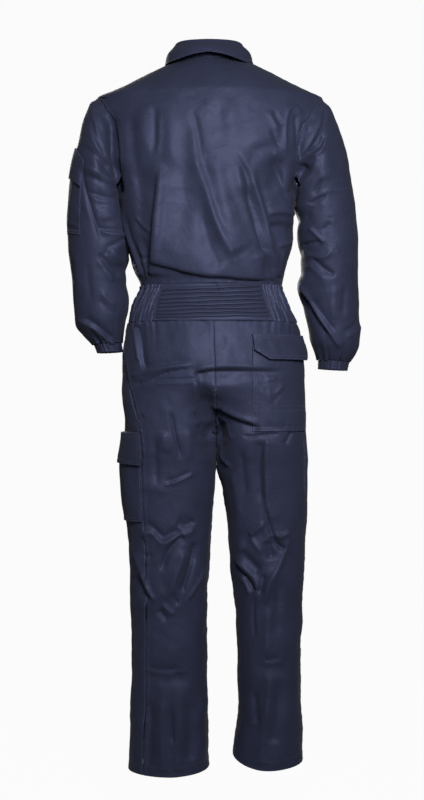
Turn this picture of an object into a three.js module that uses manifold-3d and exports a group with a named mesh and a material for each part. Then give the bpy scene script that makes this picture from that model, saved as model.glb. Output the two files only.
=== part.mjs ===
import * as THREE from 'three';
import { mergeVertices } from 'three/addons/utils/BufferGeometryUtils.js';
import Module from 'manifold-3d';

// A boiler suit in plain twill, filled out as it is when worn. Millimetres, +Z up. The front faces
// -Y, the wearer's left is +X, and the origin is between the shoulders that hold it up.

const wasm = await Module();
wasm.setup();

// Cloth and seams
const WALL = 1.8;
const SEAM_GAP = 0.3;
const EDGE = SEAM_GAP / 2;
const LAID_ON = WALL + 0.5;
const CENTRE_CLEAR = 1.9;

// Levels of the cut, from the neck down
const NECK_Z = 4;
const NECK_HALF = 74;
const NECK_DROP = 76;
const SHOULDER_Z = -74;
const UNDERARM_Z = -275;
const ARMHOLE_HALF_DEPTH = 72;
const UNDERARM_FLARE = 8;
const WAIST_Z = -478;
const WAIST_END_Z = -558;
const SPLIT_Z = -670;
const CROTCH_Z = -800;
const THIGH_Z = -860;
const KNEE_Z = -1300;
const HEM_Z = -1515;

// Back waist panel
const TUCKS = 8;
const TUCK_PITCH = 8.6;
const TUCK_RISE = 2.2;
const TUCK_TOP_Z = -488;
const PANEL_TURN = 45;

// Zip
const ZIP_HALF = 7;
const ZIP_END_Z = -697;
const SLIDER_Z = -90;
const TAB_LENGTH = 30;
const TAB_WIDTH = 7;
const TAB_THICK = 1.4;

const { clamp, lerp, smoothstep, degToRad } = THREE.MathUtils;

// Tables: one row for each section or fold, under named columns

function rowsOf(columns, rows) {
  return rows.map((row) => Object.fromEntries(columns.map((name, i) => [name, row[i]])));
}

// A smooth curve through one column of a table, straight on past its ends
function track(rows, key, column) {
  const points = rows.map((row) => [row[key], row[column]]).sort((a, b) => a[0] - b[0]);
  const last = points.length - 1;
  const secant = (i) => (points[i + 1][1] - points[i][1]) / (points[i + 1][0] - points[i][0]);
  const slopes = points.map((point, i) => {
    if (i === 0) return secant(0);
    if (i === last) return secant(last - 1);
    const before = secant(i - 1);
    const after = secant(i);
    return before * after <= 0 ? 0 : (2 * before * after) / (before + after);
  });
  return (at) => {
    const x = clamp(at, points[0][0], points[last][0]);
    let i = 0;
    while (i < last - 1 && x > points[i + 1][0]) i += 1;
    const span = points[i + 1][0] - points[i][0];
    const t = (x - points[i][0]) / span;
    const start = (1 + 2 * t) * (1 - t) ** 2 * points[i][1] + t * (1 - t) ** 2 * span * slopes[i];
    const end = t * t * (3 - 2 * t) * points[i + 1][1] + t * t * (t - 1) * span * slopes[i + 1];
    return start + end + (at - x) * (at < x ? slopes[0] : slopes[last]);
  };
}

function tracks(rows, key) {
  const columns = Object.keys(rows[0]).filter((name) => name !== key);
  return Object.fromEntries(columns.map((name) => [name, track(rows, key, name)]));
}

// Body sections: how far each reaches to the left, right, back and front, where its side lies,
// and how full its corners are (below 1 is squarer)
const TORSO = tracks(rowsOf(
  ['z', 'left', 'right', 'back', 'side', 'front', 'corner'],
  [
    [4, 83, -65, 60, 0, -50, 1.0],
    [-6, 104, -96, 72, 6, -54, 1.15],
    [-20, 134, -125, 86, 8, -60, 1.38],
    [-40, 178, -165, 98, 8, -66, 1.45],
    [-60, 223, -208, 107, 7, -72, 1.3],
    [-74, 250, -236, 112, 6, -77, 1.15],
    [-95, 252, -238, 116, 5, -85, 0.96],
    [-130, 243, -229, 121, 4, -97, 0.8],
    [-190, 222, -210, 125, 4, -110, 0.71],
    [-275, 204, -180, 122, 4, -118, 0.7],
    [-320, 199, -172, 119, 4, -117, 0.74],
    [-377, 188, -171, 115, 3, -114, 0.78],
    [-415, 178, -162, 111, 2, -111, 0.8],
    [-446, 169, -153, 107, 1, -109, 0.83],
    [-479, 156, -148, 100, -2, -106, 0.85],
    [-520, 172, -162, 106, 0, -111, 0.85],
    [-558, 182, -180, 118, 2, -116, 0.85],
    [-620, 193, -192, 132, 4, -119, 0.82],
    [-680, 194, -194, 137, 6, -117, 0.8],
    [-740, 193, -196, 133, 6, -110, 0.8],
    [-800, 192, -198, 120, 6, -100, 0.8],
    [-870, 192, -200, 108, 5, -92, 0.8],
  ],
), 'z');

// Line of the centre seams, seen from behind
const MIDDLE = track(rowsOf(
  ['z', 'x'],
  [[4, 9], [-100, 5], [-400, 3], [-478, 1], [-600, -3], [-700, -6], [-800, -7], [-870, -7]],
), 'z', 'x');

// Leg sections: outer side, inner side, back and front
const LEG_COLUMNS = ['z', 'outer', 'inner', 'back', 'front'];
const LEGS = {
  left: tracks(rowsOf(LEG_COLUMNS, [
    [-720, 193, -6, 134, -108],
    [-800, 192, -7, 120, -100],
    [-830, 192, -5.6, 110, -95],
    [-867, 194, -5, 97, -90],
    [-903, 192, -4, 92, -87],
    [-941, 190.8, -1, 88, -85],
    [-976, 189, 2, 84, -84],
    [-1060, 181, 8.7, 77, -82],
    [-1143, 178.5, 13.5, 70, -78],
    [-1201, 177, 14, 68, -74],
    [-1280, 176.7, 14.3, 66, -69],
    [-1369, 175.8, 13.7, 64, -65],
    [-1453, 180.6, 11, 64, -64],
    [-1530, 183.5, 7, 66, -64],
  ]), 'z'),
  right: tracks(rowsOf(LEG_COLUMNS, [
    [-720, 195, 6, 134, -108],
    [-800, 198, 7, 120, -100],
    [-830, 200, 9, 110, -95],
    [-867, 201, 11, 97, -90],
    [-922, 201, 24, 89, -87],
    [-976, 199.5, 30, 84, -84],
    [-1028, 197.7, 33.4, 80, -83],
    [-1089, 194.7, 41, 75, -81],
    [-1201, 191, 50, 71, -76],
    [-1267, 187.6, 53, 69, -72],
    [-1369, 188.5, 54.6, 67, -68],
    [-1464, 192.5, 46.6, 67, -66],
    [-1510, 195, 40, 68, -66],
  ]), 'z'),
};

const LEG_CORNER = 0.86;

// Where the outseam runs round each leg: 1 is straight at the side, less is towards the back
const OUTSEAM_COLUMNS = ['z', 't'];
const OUTSEAM_ROWS = {
  left: [[-558, 1], [-610, 0.88], [-680, 0.75], [-770, 0.69], [-1000, 0.69], [-1530, 0.72]],
  right: [[-558, 1], [-1530, 1]],
};
const OUTSEAM = {
  left: track(rowsOf(OUTSEAM_COLUMNS, OUTSEAM_ROWS.left), 'z', 't'),
  right: track(rowsOf(OUTSEAM_COLUMNS, OUTSEAM_ROWS.right), 'z', 't'),
};

// Hem height round each leg, from the inseam by the back and the outseam to the front
const HEM_COLUMNS = ['t', 'z'];
const HEM_ROWS = {
  left: [[0, -1511], [0.5, -1524], [1, -1519], [1.5, -1512], [2, -1511]],
  right: [[0, -1487], [0.5, -1510], [1, -1499], [1.5, -1490], [2, -1487]],
};
const HEMS = {
  left: track(rowsOf(HEM_COLUMNS, HEM_ROWS.left), 't', 'z'),
  right: track(rowsOf(HEM_COLUMNS, HEM_ROWS.right), 't', 'z'),
};

// Sleeve sections: the outer and inner points of each ring, its middle in y and half its depth
const SLEEVE_COLUMNS = ['ring', 'outerX', 'outerZ', 'innerX', 'innerZ', 'y', 'depth'];
const SLEEVES = {
  left: tracks(rowsOf(SLEEVE_COLUMNS, [
    [1, 265, -87, 219, -284, 5, 83],
    [2, 279, -122, 219, -296, 5, 83],
    [3, 290, -168, 216, -310, 3, 81],
    [4, 300, -212, 212, -328, 0, 78],
    [5, 309, -280, 204, -356, -3, 75],
    [6, 314, -350, 194, -388, -7, 72],
    [7, 314.5, -392, 185, -414, -10, 70],
    [8, 311, -430, 189, -440, -14, 69],
    [9, 307, -462, 191, -468, -18, 68],
    [10, 302, -505, 183, -500, -23, 67],
    [11, 299, -536, 184, -526, -27, 66],
    [12, 296, -560, 192, -554, -31, 63],
    [13, 282, -580, 196, -578, -35, 56],
    [14, 261, -602, 201, -599, -39, 44],
  ]), 'ring'),
  right: tracks(rowsOf(SLEEVE_COLUMNS, [
    [1, 254, -95, 196, -284, 5, 83],
    [2, 267, -128, 196, -296, 5, 83],
    [3, 282, -176, 192, -312, 3, 81],
    [4, 294, -220, 187, -332, 0, 78],
    [5, 306, -284, 182, -362, -3, 75],
    [6, 311, -345, 185, -388, -7, 72],
    [7, 313.5, -395, 193, -414, -10, 70],
    [8, 315, -440, 190, -446, -14, 69],
    [9, 317, -480, 187, -478, -18, 68],
    [10, 318.5, -530, 198, -526, -24, 67],
    [11, 319.5, -570, 208, -565, -29, 66],
    [12, 319, -602, 214, -596, -33, 62],
    [13, 312, -623, 223, -616, -37, 54],
    [14, 299, -640, 231, -636, -40, 42],
  ]), 'ring'),
};
const CUFF_RING = 14;
const CUFF_DROP = 19;
const CUFF_SLOPE = { left: [-0.28, -1], right: [-0.12, -1] };

// Where the bloused back hangs over the waist, seen from behind
const BLOUSE_LINE = track(rowsOf(
  ['x', 'z'],
  [[-160, -462], [-82, -462], [2, -457], [54, -449], [128, -423], [160, -415]],
), 'x', 'z');
const BLOUSE_RISE = 11;
const BLOUSE_STEP = 14;
const BLOUSE_REACH = 95;

const BLOUSE_MIDDLE = 10;
const BLOUSE_FULL = 105;
const BLOUSE_END = 160;

// Large folds: a line from (x0, z0) to (x1, z1), bowed sideways, raised or sunk by lift
const FOLD_COLUMNS = ['x0', 'z0', 'x1', 'z1', 'bow', 'width', 'lift'];
const BACK_FOLDS = rowsOf(FOLD_COLUMNS, [
  [114, -215, 132, -440, 3, 13, 6],
  [148, -210, 160, -430, 4, 13, -5],
  [-50, -185, -135, -458, -16, 17, 8],
  [-128, -190, -158, -440, -10, 20, -7],
  [24, -180, -38, -425, 12, 18, 5],
  [60, -120, 66, -430, 4, 22, -4],
  [-160, -170, -60, -215, 6, 14, -3.5],
  [-150, -200, -110, -300, 6, 15, -4],
  [60, -672, -70, -672, -8, 12, -5],
  [150, -668, 40, -650, 4, 12, 3.5],
  [168, -700, 28, -688, 4, 12, 3],
  [30, -765, -100, -800, 6, 13, -4],
]);
const FRONT_FOLDS = rowsOf(FOLD_COLUMNS, [
  [120, -190, 128, -450, 6, 18, 5],
  [-114, -190, -124, -450, -6, 18, 5],
  [62, -150, 78, -440, 6, 20, -4],
  [-60, -150, -70, -440, -5, 20, -4],
  [140, -640, 46, -700, 6, 15, -4],
  [-142, -640, -50, -704, -6, 15, -4],
  [150, -690, 34, -775, 6, 16, 4],
  [-150, -690, -46, -775, -6, 16, 4],
]);
const LEG_FOLDS = {
  left: rowsOf(FOLD_COLUMNS, [
    [165, -900, 92, -926, 5, 14, 4],
    [160, -1036, 96, -1010, 6, 16, -4],
    [60, -1142, 24, -1060, 5, 17, 5],
    [150, -1180, 90, -1120, 6, 18, 4],
    [160, -1310, 40, -1322, 4, 18, -4],
  ]),
  right: rowsOf(FOLD_COLUMNS, [
    [-56, -1036, -120, -1004, 6, 16, -4],
    [-88, -1160, -150, -1082, 6, 18, 5],
    [-70, -1120, -58, -1010, 5, 16, 4],
    [-80, -1290, -170, -1302, 4, 18, -4],
  ]),
};

function foldLift(folds, x, z) {
  let lift = 0;
  for (const fold of folds) {
    const dx = fold.x1 - fold.x0;
    const dz = fold.z1 - fold.z0;
    const length = Math.hypot(dx, dz);
    const along = clamp(((x - fold.x0) * dx + (z - fold.z0) * dz) / length ** 2, 0, 1);
    const bow = fold.bow * 4 * along * (1 - along);
    const offX = x - fold.x0 - along * dx - (bow * dz) / length;
    const offZ = z - fold.z0 - along * dz + (bow * dx) / length;
    const near = Math.exp(-(offX ** 2 + offZ ** 2) / fold.width ** 2);
    lift += fold.lift * near * smoothstep(along, 0, 0.3) * (1 - smoothstep(along, 0.7, 1));
  }
  return lift;
}

function blouseLift(x, z) {
  const above = z - BLOUSE_LINE(x);
  const spread = 1 - smoothstep(Math.abs(x - BLOUSE_MIDDLE), BLOUSE_FULL, BLOUSE_END);
  const over = Math.exp(-((above / BLOUSE_REACH) ** 2));
  const under = 1 - smoothstep(-above, 0, BLOUSE_STEP);
  return BLOUSE_RISE * spread * (above > 0 ? over : under);
}

// Body and legs

function torsoPoint(turn, z) {
  const middle = MIDDLE(z);
  const across = Math.sin(turn);
  const inward = Math.cos(turn);
  const half = across >= 0 ? TORSO.left(z) - middle : middle - TORSO.right(z);
  const x = middle + half * across;
  const side = TORSO.side(z);
  const depth = inward >= 0 ? TORSO.back(z) - side : TORSO.front(z) - side;
  const y = side + depth * Math.abs(inward) ** TORSO.corner(z);
  const armholeRise = (SHOULDER_Z - UNDERARM_Z) / 2;
  const share = Math.min(1, Math.abs(y - side) / ARMHOLE_HALF_DEPTH);
  const above = z - (SHOULDER_Z + UNDERARM_Z) / 2 + armholeRise * Math.sqrt(1 - share ** 2);
  const level = Math.exp(Math.min(above, 2) / 6) * (1 - smoothstep(above, 2, 20));
  const flare = UNDERARM_FLARE * level * Math.exp(-(((y - side) / 40) ** 2));
  const facing = smoothstep(Math.abs(inward), 0.1, 0.5);
  const lift = inward >= 0 ? foldLift(BACK_FOLDS, x, z) + blouseLift(x, z) : -foldLift(FRONT_FOLDS, x, z);
  return new THREE.Vector3(x + Math.sign(across) * flare, y + lift * facing, z);
}

// Round one leg t runs from the inseam (0) by the back to the outseam (1) and by the front to the
// inseam again (2); above the split it runs from the centre back to the centre front
function legPoint(name, t, z) {
  const sign = name === 'left' ? 1 : -1;
  const leg = LEGS[name];
  const outer = leg.outer(z);
  const inner = leg.inner(z);
  const turn = degToRad(180 * t - 90);
  const middleY = (leg.back(z) + leg.front(z)) / 2;
  const depth = (leg.back(z) - leg.front(z)) / 2;
  const facing = Math.cos(turn);
  const x = sign * ((outer + inner) / 2 + ((outer - inner) / 2) * Math.sin(turn));
  const lift = facing >= 0 ? foldLift(LEG_FOLDS[name], x, z) : 0;
  const reach = depth * Math.abs(facing) ** LEG_CORNER + lift * smoothstep(facing, 0.1, 0.6);
  return new THREE.Vector3(x, middleY + Math.sign(facing) * reach, z);
}

function halfPoint(name, t, z) {
  const sign = name === 'left' ? 1 : -1;
  const hip = torsoPoint(sign * t * Math.PI / 2, z);
  if (z >= SPLIT_Z) return hip;
  const fromCentre = Math.min(t, 2 - t);
  const end = lerp(CROTCH_Z, THIGH_Z, smoothstep(fromCentre, 0, 0.5));
  const share = clamp((SPLIT_Z - z) / (SPLIT_Z - end), 0, 1);
  const ease = lerp(share ** 2, smoothstep(share, 0, 1), Math.min(1, fromCentre / 0.3));
  const point = hip.lerp(legPoint(name, t, z), ease);
  const clear = CENTRE_CLEAR * Math.max(smoothstep(fromCentre, 0, 0.05), smoothstep(CROTCH_Z - z, 0, 5));
  point.x = sign * Math.max(sign * point.x, sign * MIDDLE(z) + clear);
  return point;
}

// Half the depth of the armhole at a height, as a turn from the centre back
function armholeTurn(z, facing) {
  const middle = (SHOULDER_Z + UNDERARM_Z) / 2;
  const rise = clamp((z - middle) / ((SHOULDER_Z - UNDERARM_Z) / 2), -1, 1);
  const offset = ARMHOLE_HALF_DEPTH * Math.sqrt(1 - rise ** 2);
  const depth = Math.abs((facing > 0 ? TORSO.back(z) : TORSO.front(z)) - TORSO.side(z));
  const quarter = Math.acos(Math.min(1, offset / depth) ** (1 / TORSO.corner(z)));
  return facing > 0 ? quarter : Math.PI - quarter;
}

// Turn of the front edge at a height: down the neckline, then beside the zip
function frontTurn(sign, z) {
  const dip = Math.min(1, (NECK_Z - z) / NECK_DROP);
  const edge = Math.max(ZIP_HALF, NECK_HALF * Math.sqrt(1 - dip ** 2));
  const half = sign > 0 ? TORSO.left(z) - MIDDLE(z) : MIDDLE(z) - TORSO.right(z);
  return Math.PI - Math.asin(Math.min(1, edge / half));
}

// Nets: the middle of a cloth wall as points with outward normals, by rows and columns

function knot(surface, row, column, steps, flip) {
  const point = surface(row, column);
  const down = surface(row + steps[0], column).sub(surface(row - steps[0], column));
  const across = surface(row, column + steps[1]).sub(surface(row, column - steps[1]));
  const normal = new THREE.Vector3().crossVectors(down, across).normalize();
  return { point, normal: flip ? normal.negate() : normal };
}

function netOf(surface, rows, columns, steps, flip = false) {
  return rows.map((row) => columns.map((column) => knot(surface, row, column, steps, flip)));
}

// Pulls the border of a net back along its own lines, to leave the seam gap
function trimmed(net, sides, { amount = EDGE, keep = () => false } = {}) {
  const last = net.length - 1;
  const end = net[0].length - 1;
  const pull = (knots, a, b) => {
    const way = knots[b].point.clone().sub(knots[a].point);
    const length = way.length();
    if (length > 4 * amount) knots[a].point.addScaledVector(way, amount / length);
  };
  for (let j = 0; j <= end; j += 1) {
    const column = net.map((row) => row[j]);
    if (sides.includes('top')) pull(column, 0, 1);
    if (sides.includes('bottom')) pull(column, last, last - 1);
  }
  net.forEach((row, i) => {
    if (keep(i)) return;
    if (sides.includes('start')) pull(row, 0, 1);
    if (sides.includes('end')) pull(row, end, end - 1);
  });
  return net;
}

// Solids

const object = new THREE.Group();

const TWILL = { color: '#41466a', roughness: 0.82, metalness: 0 };
const DARK_TWILL = { color: '#3a3f5f', roughness: 0.85, metalness: 0 };
const TAPE = { color: '#23263a', roughness: 0.8, metalness: 0 };
const BRASS = { color: '#a98a4f', roughness: 0.35, metalness: 1 };

function addMesh(name, finish, positions, faces) {
  let volume = 0;
  const at = (i) => new THREE.Vector3().fromArray(positions, 3 * i);
  for (const [a, b, c] of faces) volume += at(a).dot(at(b).cross(at(c)));
  const outward = volume > 0 ? faces : faces.map(([a, b, c]) => [a, c, b]);
  const geometry = new THREE.BufferGeometry();
  geometry.setAttribute('position', new THREE.Float32BufferAttribute(positions, 3));
  geometry.setIndex(outward.flat());
  geometry.computeVertexNormals();
  const mesh = new THREE.Mesh(geometry, new THREE.MeshStandardMaterial(finish));
  mesh.name = name;
  object.add(mesh);
}

// A wall of cloth on a net: its outer and inner faces and the strips that close its edges
function clothWall(name, finish, net, { round = false, raise = null } = {}) {
  const rows = net.length;
  const columns = net[0].length;
  const positions = [];
  net.forEach((row, i) => row.forEach(({ point, normal }, j) => {
    const outer = WALL / 2 + (raise ? raise(i, j) : 0);
    positions.push(...point.clone().addScaledVector(normal, outer).toArray());
    positions.push(...point.clone().addScaledVector(normal, -WALL / 2).toArray());
  }));
  const outer = (i, j) => 2 * (i * columns + (j % columns));
  const inner = (i, j) => outer(i, j) + 1;
  const faces = [];
  const quad = (a, b, c, d) => faces.push([a, b, c], [a, c, d]);
  const spans = round ? columns : columns - 1;
  for (let i = 0; i < rows - 1; i += 1) {
    for (let j = 0; j < spans; j += 1) {
      quad(outer(i, j), outer(i + 1, j), outer(i + 1, j + 1), outer(i, j + 1));
      quad(inner(i, j), inner(i, j + 1), inner(i + 1, j + 1), inner(i + 1, j));
    }
  }
  for (let j = 0; j < spans; j += 1) {
    quad(outer(0, j), outer(0, j + 1), inner(0, j + 1), inner(0, j));
    quad(outer(rows - 1, j), inner(rows - 1, j), inner(rows - 1, j + 1), outer(rows - 1, j + 1));
  }
  const end = columns - 1;
  for (let i = 0; i < rows - 1 && !round; i += 1) {
    quad(outer(i, 0), inner(i, 0), inner(i + 1, 0), outer(i + 1, 0));
    quad(outer(i, end), outer(i + 1, end), inner(i + 1, end), inner(i, end));
  }
  addMesh(name, finish, positions, faces);
}

// A point between the knots of a net, given the parameters of its lines
function between(net, rowLines, columnLines, row, column) {
  const find = (lines, at) => {
    const order = Math.sign(lines[lines.length - 1] - lines[0]);
    let i = 0;
    while (i < lines.length - 2 && order * at > order * lines[i + 1]) i += 1;
    return [i, (at - lines[i]) / (lines[i + 1] - lines[i])];
  };
  const [i, u] = find(rowLines, row);
  const [j, v] = find(columnLines, column);
  const mix = (key) => {
    const corner = u > v ? net[i + 1][j][key] : net[i][j + 1][key];
    const low = Math.min(u, v);
    const high = Math.max(u, v);
    return net[i][j][key].clone().multiplyScalar(1 - high)
      .addScaledVector(corner, high - low)
      .addScaledVector(net[i + 1][j + 1][key], low);
  };
  return { point: mix('point'), normal: mix('normal').normalize() };
}

// The lines of a net between two ends, with the ends themselves
const LINE_MARGIN = 0.012;
function linesWithin(lines, from, to) {
  const [low, high] = [Math.min(from, to), Math.max(from, to)];
  const margin = (high - low) * LINE_MARGIN;
  const inside = lines.filter((line) => line > low + margin && line < high - margin);
  return from < to ? [from, ...inside, to] : [from, ...inside, to].sort((a, b) => b - a);
}

// The column of a base at which a row reaches x, between two columns
function columnAt(base, row, x, from, to) {
  let [near, far] = [from, to];
  for (let step = 0; step < 24; step += 1) {
    const middle = (near + far) / 2;
    const { point } = between(base.net, base.rows, base.columns, row, middle);
    if (Math.abs(point.x) < Math.abs(x)) near = middle;
    else far = middle;
  }
  return near;
}

// A piece laid on a net: made from the net's own points, moved out by lift, with more at its foot
// (hang) or near its mouth (puff); plumbX makes its first edge plumb
function patch({ name, base, top, bottom, start, end, lift, hang, puff, plumbX }) {
  const rows = linesWithin(base.rows, top, bottom);
  const columns = linesWithin(base.columns, start, end);
  const net = rows.map((row) => columns.map((column, j) => {
    const plumb = plumbX !== null && j === 0;
    const at = plumb ? columnAt(base, row, plumbX, 0.1, columns[1] - 0.01) : column;
    const { point, normal } = between(base.net, base.rows, base.columns, row, at);
    const down = (row - top) / (bottom - top);
    const out = lift + hang * smoothstep(down, 0, 1) + puff * (1 - down) * smoothstep(down, 0, 0.1);
    return { point: point.addScaledVector(normal, out), normal };
  }));
  clothWall(name, TWILL, net);
}

// Bodice

const BODICE_STEPS = [0.5, 0.01];
const SHOULDER_ROWS = [0, -6, -20, -40, -57, -66, SHOULDER_Z];
const ARMHOLE_COUNT = 9;
const ARMHOLE_ROWS = Array.from({ length: ARMHOLE_COUNT + 1 }, (_, k) => {
  const half = (SHOULDER_Z - UNDERARM_Z) / 2;
  return (SHOULDER_Z + UNDERARM_Z) / 2 + half * Math.cos((Math.PI * k) / ARMHOLE_COUNT);
});
const SIDE_ROWS = [-282, -296, -320, -350, -380, -405, -425, -440, -453, -464, WAIST_Z];
const BODICE_ROWS = [...SHOULDER_ROWS, ...ARMHOLE_ROWS.slice(1), ...SIDE_ROWS];

function backEdge(z) {
  return z < SHOULDER_Z && z > UNDERARM_Z ? armholeTurn(z, 1) : Math.PI / 2;
}

function frontEdge(z) {
  return z < SHOULDER_Z && z > UNDERARM_Z ? armholeTurn(z, -1) : Math.PI / 2;
}

const TORSO_SURFACE = (z, turn) => torsoPoint(turn, z);

// On a level seam the wall's edge is level too, so that pieces with other columns still clear it
function levelled(found) {
  found.normal.setZ(0).normalize();
  return found;
}

function torsoKnot(z, turn) {
  const found = knot(TORSO_SURFACE, z, turn, BODICE_STEPS, false);
  return z === WAIST_Z || z === WAIST_END_Z ? levelled(found) : found;
}

// Turn round the armhole at a height: 0 at the shoulder, by the back to the underarm
function aroundArmhole(z, facing) {
  const middle = (SHOULDER_Z + UNDERARM_Z) / 2;
  return facing * Math.acos(clamp((z - middle) / ((SHOULDER_Z - UNDERARM_Z) / 2), -1, 1));
}

// Holds the bodice's armhole edge back from the sleeve
function cutArmhole(net, rows, column, name, facing) {
  rows.forEach((z, i) => {
    if (z > SHOULDER_Z + 0.01 || z < UNDERARM_Z - 0.01) return;
    const { out } = armholeKnot(name, aroundArmhole(z, facing));
    net[i][column].point.addScaledVector(out, -EDGE);
  });
}

const BACK_SPANS = 22;
const backColumns = Array.from({ length: BACK_SPANS + 1 }, (_, j) => (2 * j) / BACK_SPANS - 1);
const backRows = [NECK_Z, ...BODICE_ROWS];
const backNet = backRows.map((z) => backColumns.map((u) => torsoKnot(z, u * backEdge(z))));
const neckBack = backNet[0].map(({ point, normal }) => ({ point: point.clone(), normal: normal.clone() }));
const inArmhole = (rows) => (i) => rows[i] < SHOULDER_Z - 1 && rows[i] > UNDERARM_Z + 1;
cutArmhole(backNet, backRows, 0, 'right', 1);
cutArmhole(backNet, backRows, BACK_SPANS, 'left', 1);
clothWall('back_bodice', TWILL, trimmed(backNet, ['start', 'end', 'bottom'], { keep: inArmhole(backRows) }));

const FRONT_SPANS = 9;
const frontColumns = Array.from({ length: FRONT_SPANS + 1 }, (_, j) => j / FRONT_SPANS);
const neckFront = {};
for (const name of ['left', 'right']) {
  const sign = name === 'left' ? 1 : -1;
  const net = BODICE_ROWS.map((z) => frontColumns.map((w) => {
    return torsoKnot(z, sign * lerp(frontEdge(z), frontTurn(sign, z), w));
  }));
  const neckRows = BODICE_ROWS.filter((z) => z > NECK_Z - NECK_DROP).length;
  neckFront[name] = net.slice(0, neckRows + 1).map((row) => {
    const { point, normal } = row[FRONT_SPANS];
    return { point: point.clone(), normal: normal.clone() };
  });
  cutArmhole(net, BODICE_ROWS, 0, name, -1);
  const front = trimmed(net, ['start', 'bottom'], { keep: inArmhole(BODICE_ROWS) });
  clothWall(`front_bodice_${name}`, TWILL, front);
}

// Adds knots on the straight stretches between knots further apart than a distance
function refined(line, apart) {
  return line.flatMap((found, i) => {
    if (i === line.length - 1) return [found];
    const next = line[i + 1];
    const count = Math.ceil(found.point.distanceTo(next.point) / apart);
    return Array.from({ length: count }, (_, k) => ({
      point: found.point.clone().lerp(next.point, k / count),
      normal: found.normal.clone().lerp(next.normal, k / count).normalize(),
    }));
  });
}

// Collar: the stand goes round the neckline and the fall turns down over it
const COLLAR_LINE = refined([...neckFront.right.slice().reverse(), ...neckBack, ...neckFront.left], 15);
const COLLAR_MIDDLE = new THREE.Vector3(9, 2, 0);

// How the collar stands and falls, by the turn from the centre back; the fall's edge keeps above the
// shoulders by clear, and is no lower than low
const COLLAR = tracks(rowsOf(
  ['turn', 'stand', 'lean', 'reach', 'edgeX', 'edgeY', 'clear', 'low'],
  [
    [0, 37, 0.1, 5, 0, 91, 4, 9],
    [20, 37, 0.1, 5, 33, 86, 4, 5],
    [45, 38, 0.11, 5, 69, 66, 4, -3],
    [70, 39, 0.13, 5, 89, 32, 4, -5],
    [90, 39, 0.15, 5, 95, 3, 4, -8],
    [112, 37, 0.2, 5, 90, -34, 6, -60],
    [135, 34, 0.26, 6, 80, -62, 9, -120],
    [160, 31, 0.3, 7, 62, -84, 12, -150],
    [180, 29, 0.3, 7, 42, -92, 14, -160],
  ],
), 'turn');

// The greatest height at which the body still reaches as far out as (x, y)
function shoulderHeight(x, y) {
  let above = 20;
  let below = -250;
  for (let step = 0; step < 30; step += 1) {
    const z = (above + below) / 2;
    const half = x > MIDDLE(z) ? TORSO.left(z) - MIDDLE(z) : MIDDLE(z) - TORSO.right(z);
    const across = Math.min(1, Math.abs(x - MIDDLE(z)) / half);
    const depth = (y > TORSO.side(z) ? TORSO.back(z) : TORSO.front(z)) - TORSO.side(z);
    const reach = depth * (1 - across ** 2) ** (TORSO.corner(z) / 2);
    const inside = across < 1 && Math.abs(y - TORSO.side(z)) < Math.abs(reach);
    if (inside) below = z;
    else above = z;
  }
  return below;
}

function collarKnots() {
  const end = COLLAR_LINE.length - 1;
  return COLLAR_LINE.map(({ point, normal }, i) => {
    const away = point.clone().sub(COLLAR_MIDDLE).setZ(0);
    const turn = Math.abs((Math.atan2(away.x, away.y) * 180) / Math.PI);
    const outward = away.normalize();
    const up = new THREE.Vector3(0, 0, 1).addScaledVector(outward, -COLLAR.lean(turn)).normalize();
    const facing = outward.clone().addScaledVector(up, -outward.dot(up)).normalize();
    const foot = point.clone().addScaledVector(normal, 0.95).addScaledVector(up, 0.5);
    const top = foot.clone().addScaledVector(up, COLLAR.stand(turn) - 1.5);
    return { foot, top, up, facing, turn, sign: i < end / 2 ? -1 : 1 };
  });
}

function standNet() {
  return [0, 0.5, 1].map((share) => collarKnots().map(({ foot, top, facing }) => (
    { point: foot.clone().lerp(top, share), normal: facing }
  )));
}

// The fall rolls over the stand's top edge and drops to its own edge over the shoulders
function fallLine({ top, up, facing, turn, sign }, i, knots) {
  const before = knots[Math.max(i - 1, 0)].top;
  const after = knots[Math.min(i + 1, knots.length - 1)].top;
  const along = after.clone().sub(before).normalize();
  const rise = up.clone().addScaledVector(along, -up.dot(along)).normalize();
  const edge = new THREE.Vector3(COLLAR_MIDDLE.x + sign * COLLAR.edgeX(turn), COLLAR.edgeY(turn), 0);
  edge.z = Math.max(COLLAR.low(turn), shoulderHeight(edge.x, edge.y) + COLLAR.clear(turn));
  const over = top.clone().addScaledVector(rise, WALL / 2 + 0.5);
  const rolled = over.clone().addScaledVector(facing, 3.2);
  const outside = top.clone().addScaledVector(facing, COLLAR.reach(turn)).addScaledVector(rise, -3);
  const bellied = outside.clone().lerp(edge, 0.5).addScaledVector(facing, 5);
  return [over, rolled, outside, bellied, edge];
}

function fallNet() {
  const lines = collarKnots().map(fallLine);
  return lines[0].map((_, i) => lines.map((line, j) => {
    const down = line[Math.min(i + 1, line.length - 1)].clone().sub(line[Math.max(i - 1, 0)]);
    const across = lines[Math.min(j + 1, lines.length - 1)][i].clone().sub(lines[Math.max(j - 1, 0)][i]);
    return { point: line[i], normal: new THREE.Vector3().crossVectors(across, down).normalize() };
  }));
}

clothWall('collar_stand', TWILL, standNet());
clothWall('collar_fall', TWILL, fallNet());

// Sleeves

// Turn round a sleeve: 0 along its outer side, half by the back to its inner side and on by the front
function sleeveRing(name, ring, around) {
  const sleeve = SLEEVES[name];
  const sign = name === 'left' ? 1 : -1;
  const outer = new THREE.Vector3(sign * sleeve.outerX(ring), sleeve.y(ring), sleeve.outerZ(ring));
  const inner = new THREE.Vector3(sign * sleeve.innerX(ring), sleeve.y(ring), sleeve.innerZ(ring));
  const centre = outer.clone().lerp(inner, 0.5);
  const reach = outer.sub(centre).multiplyScalar(Math.cos(around));
  const depth = new THREE.Vector3(0, sleeve.depth(ring) * Math.sin(around), 0);
  return centre.add(reach).add(depth);
}

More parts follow.
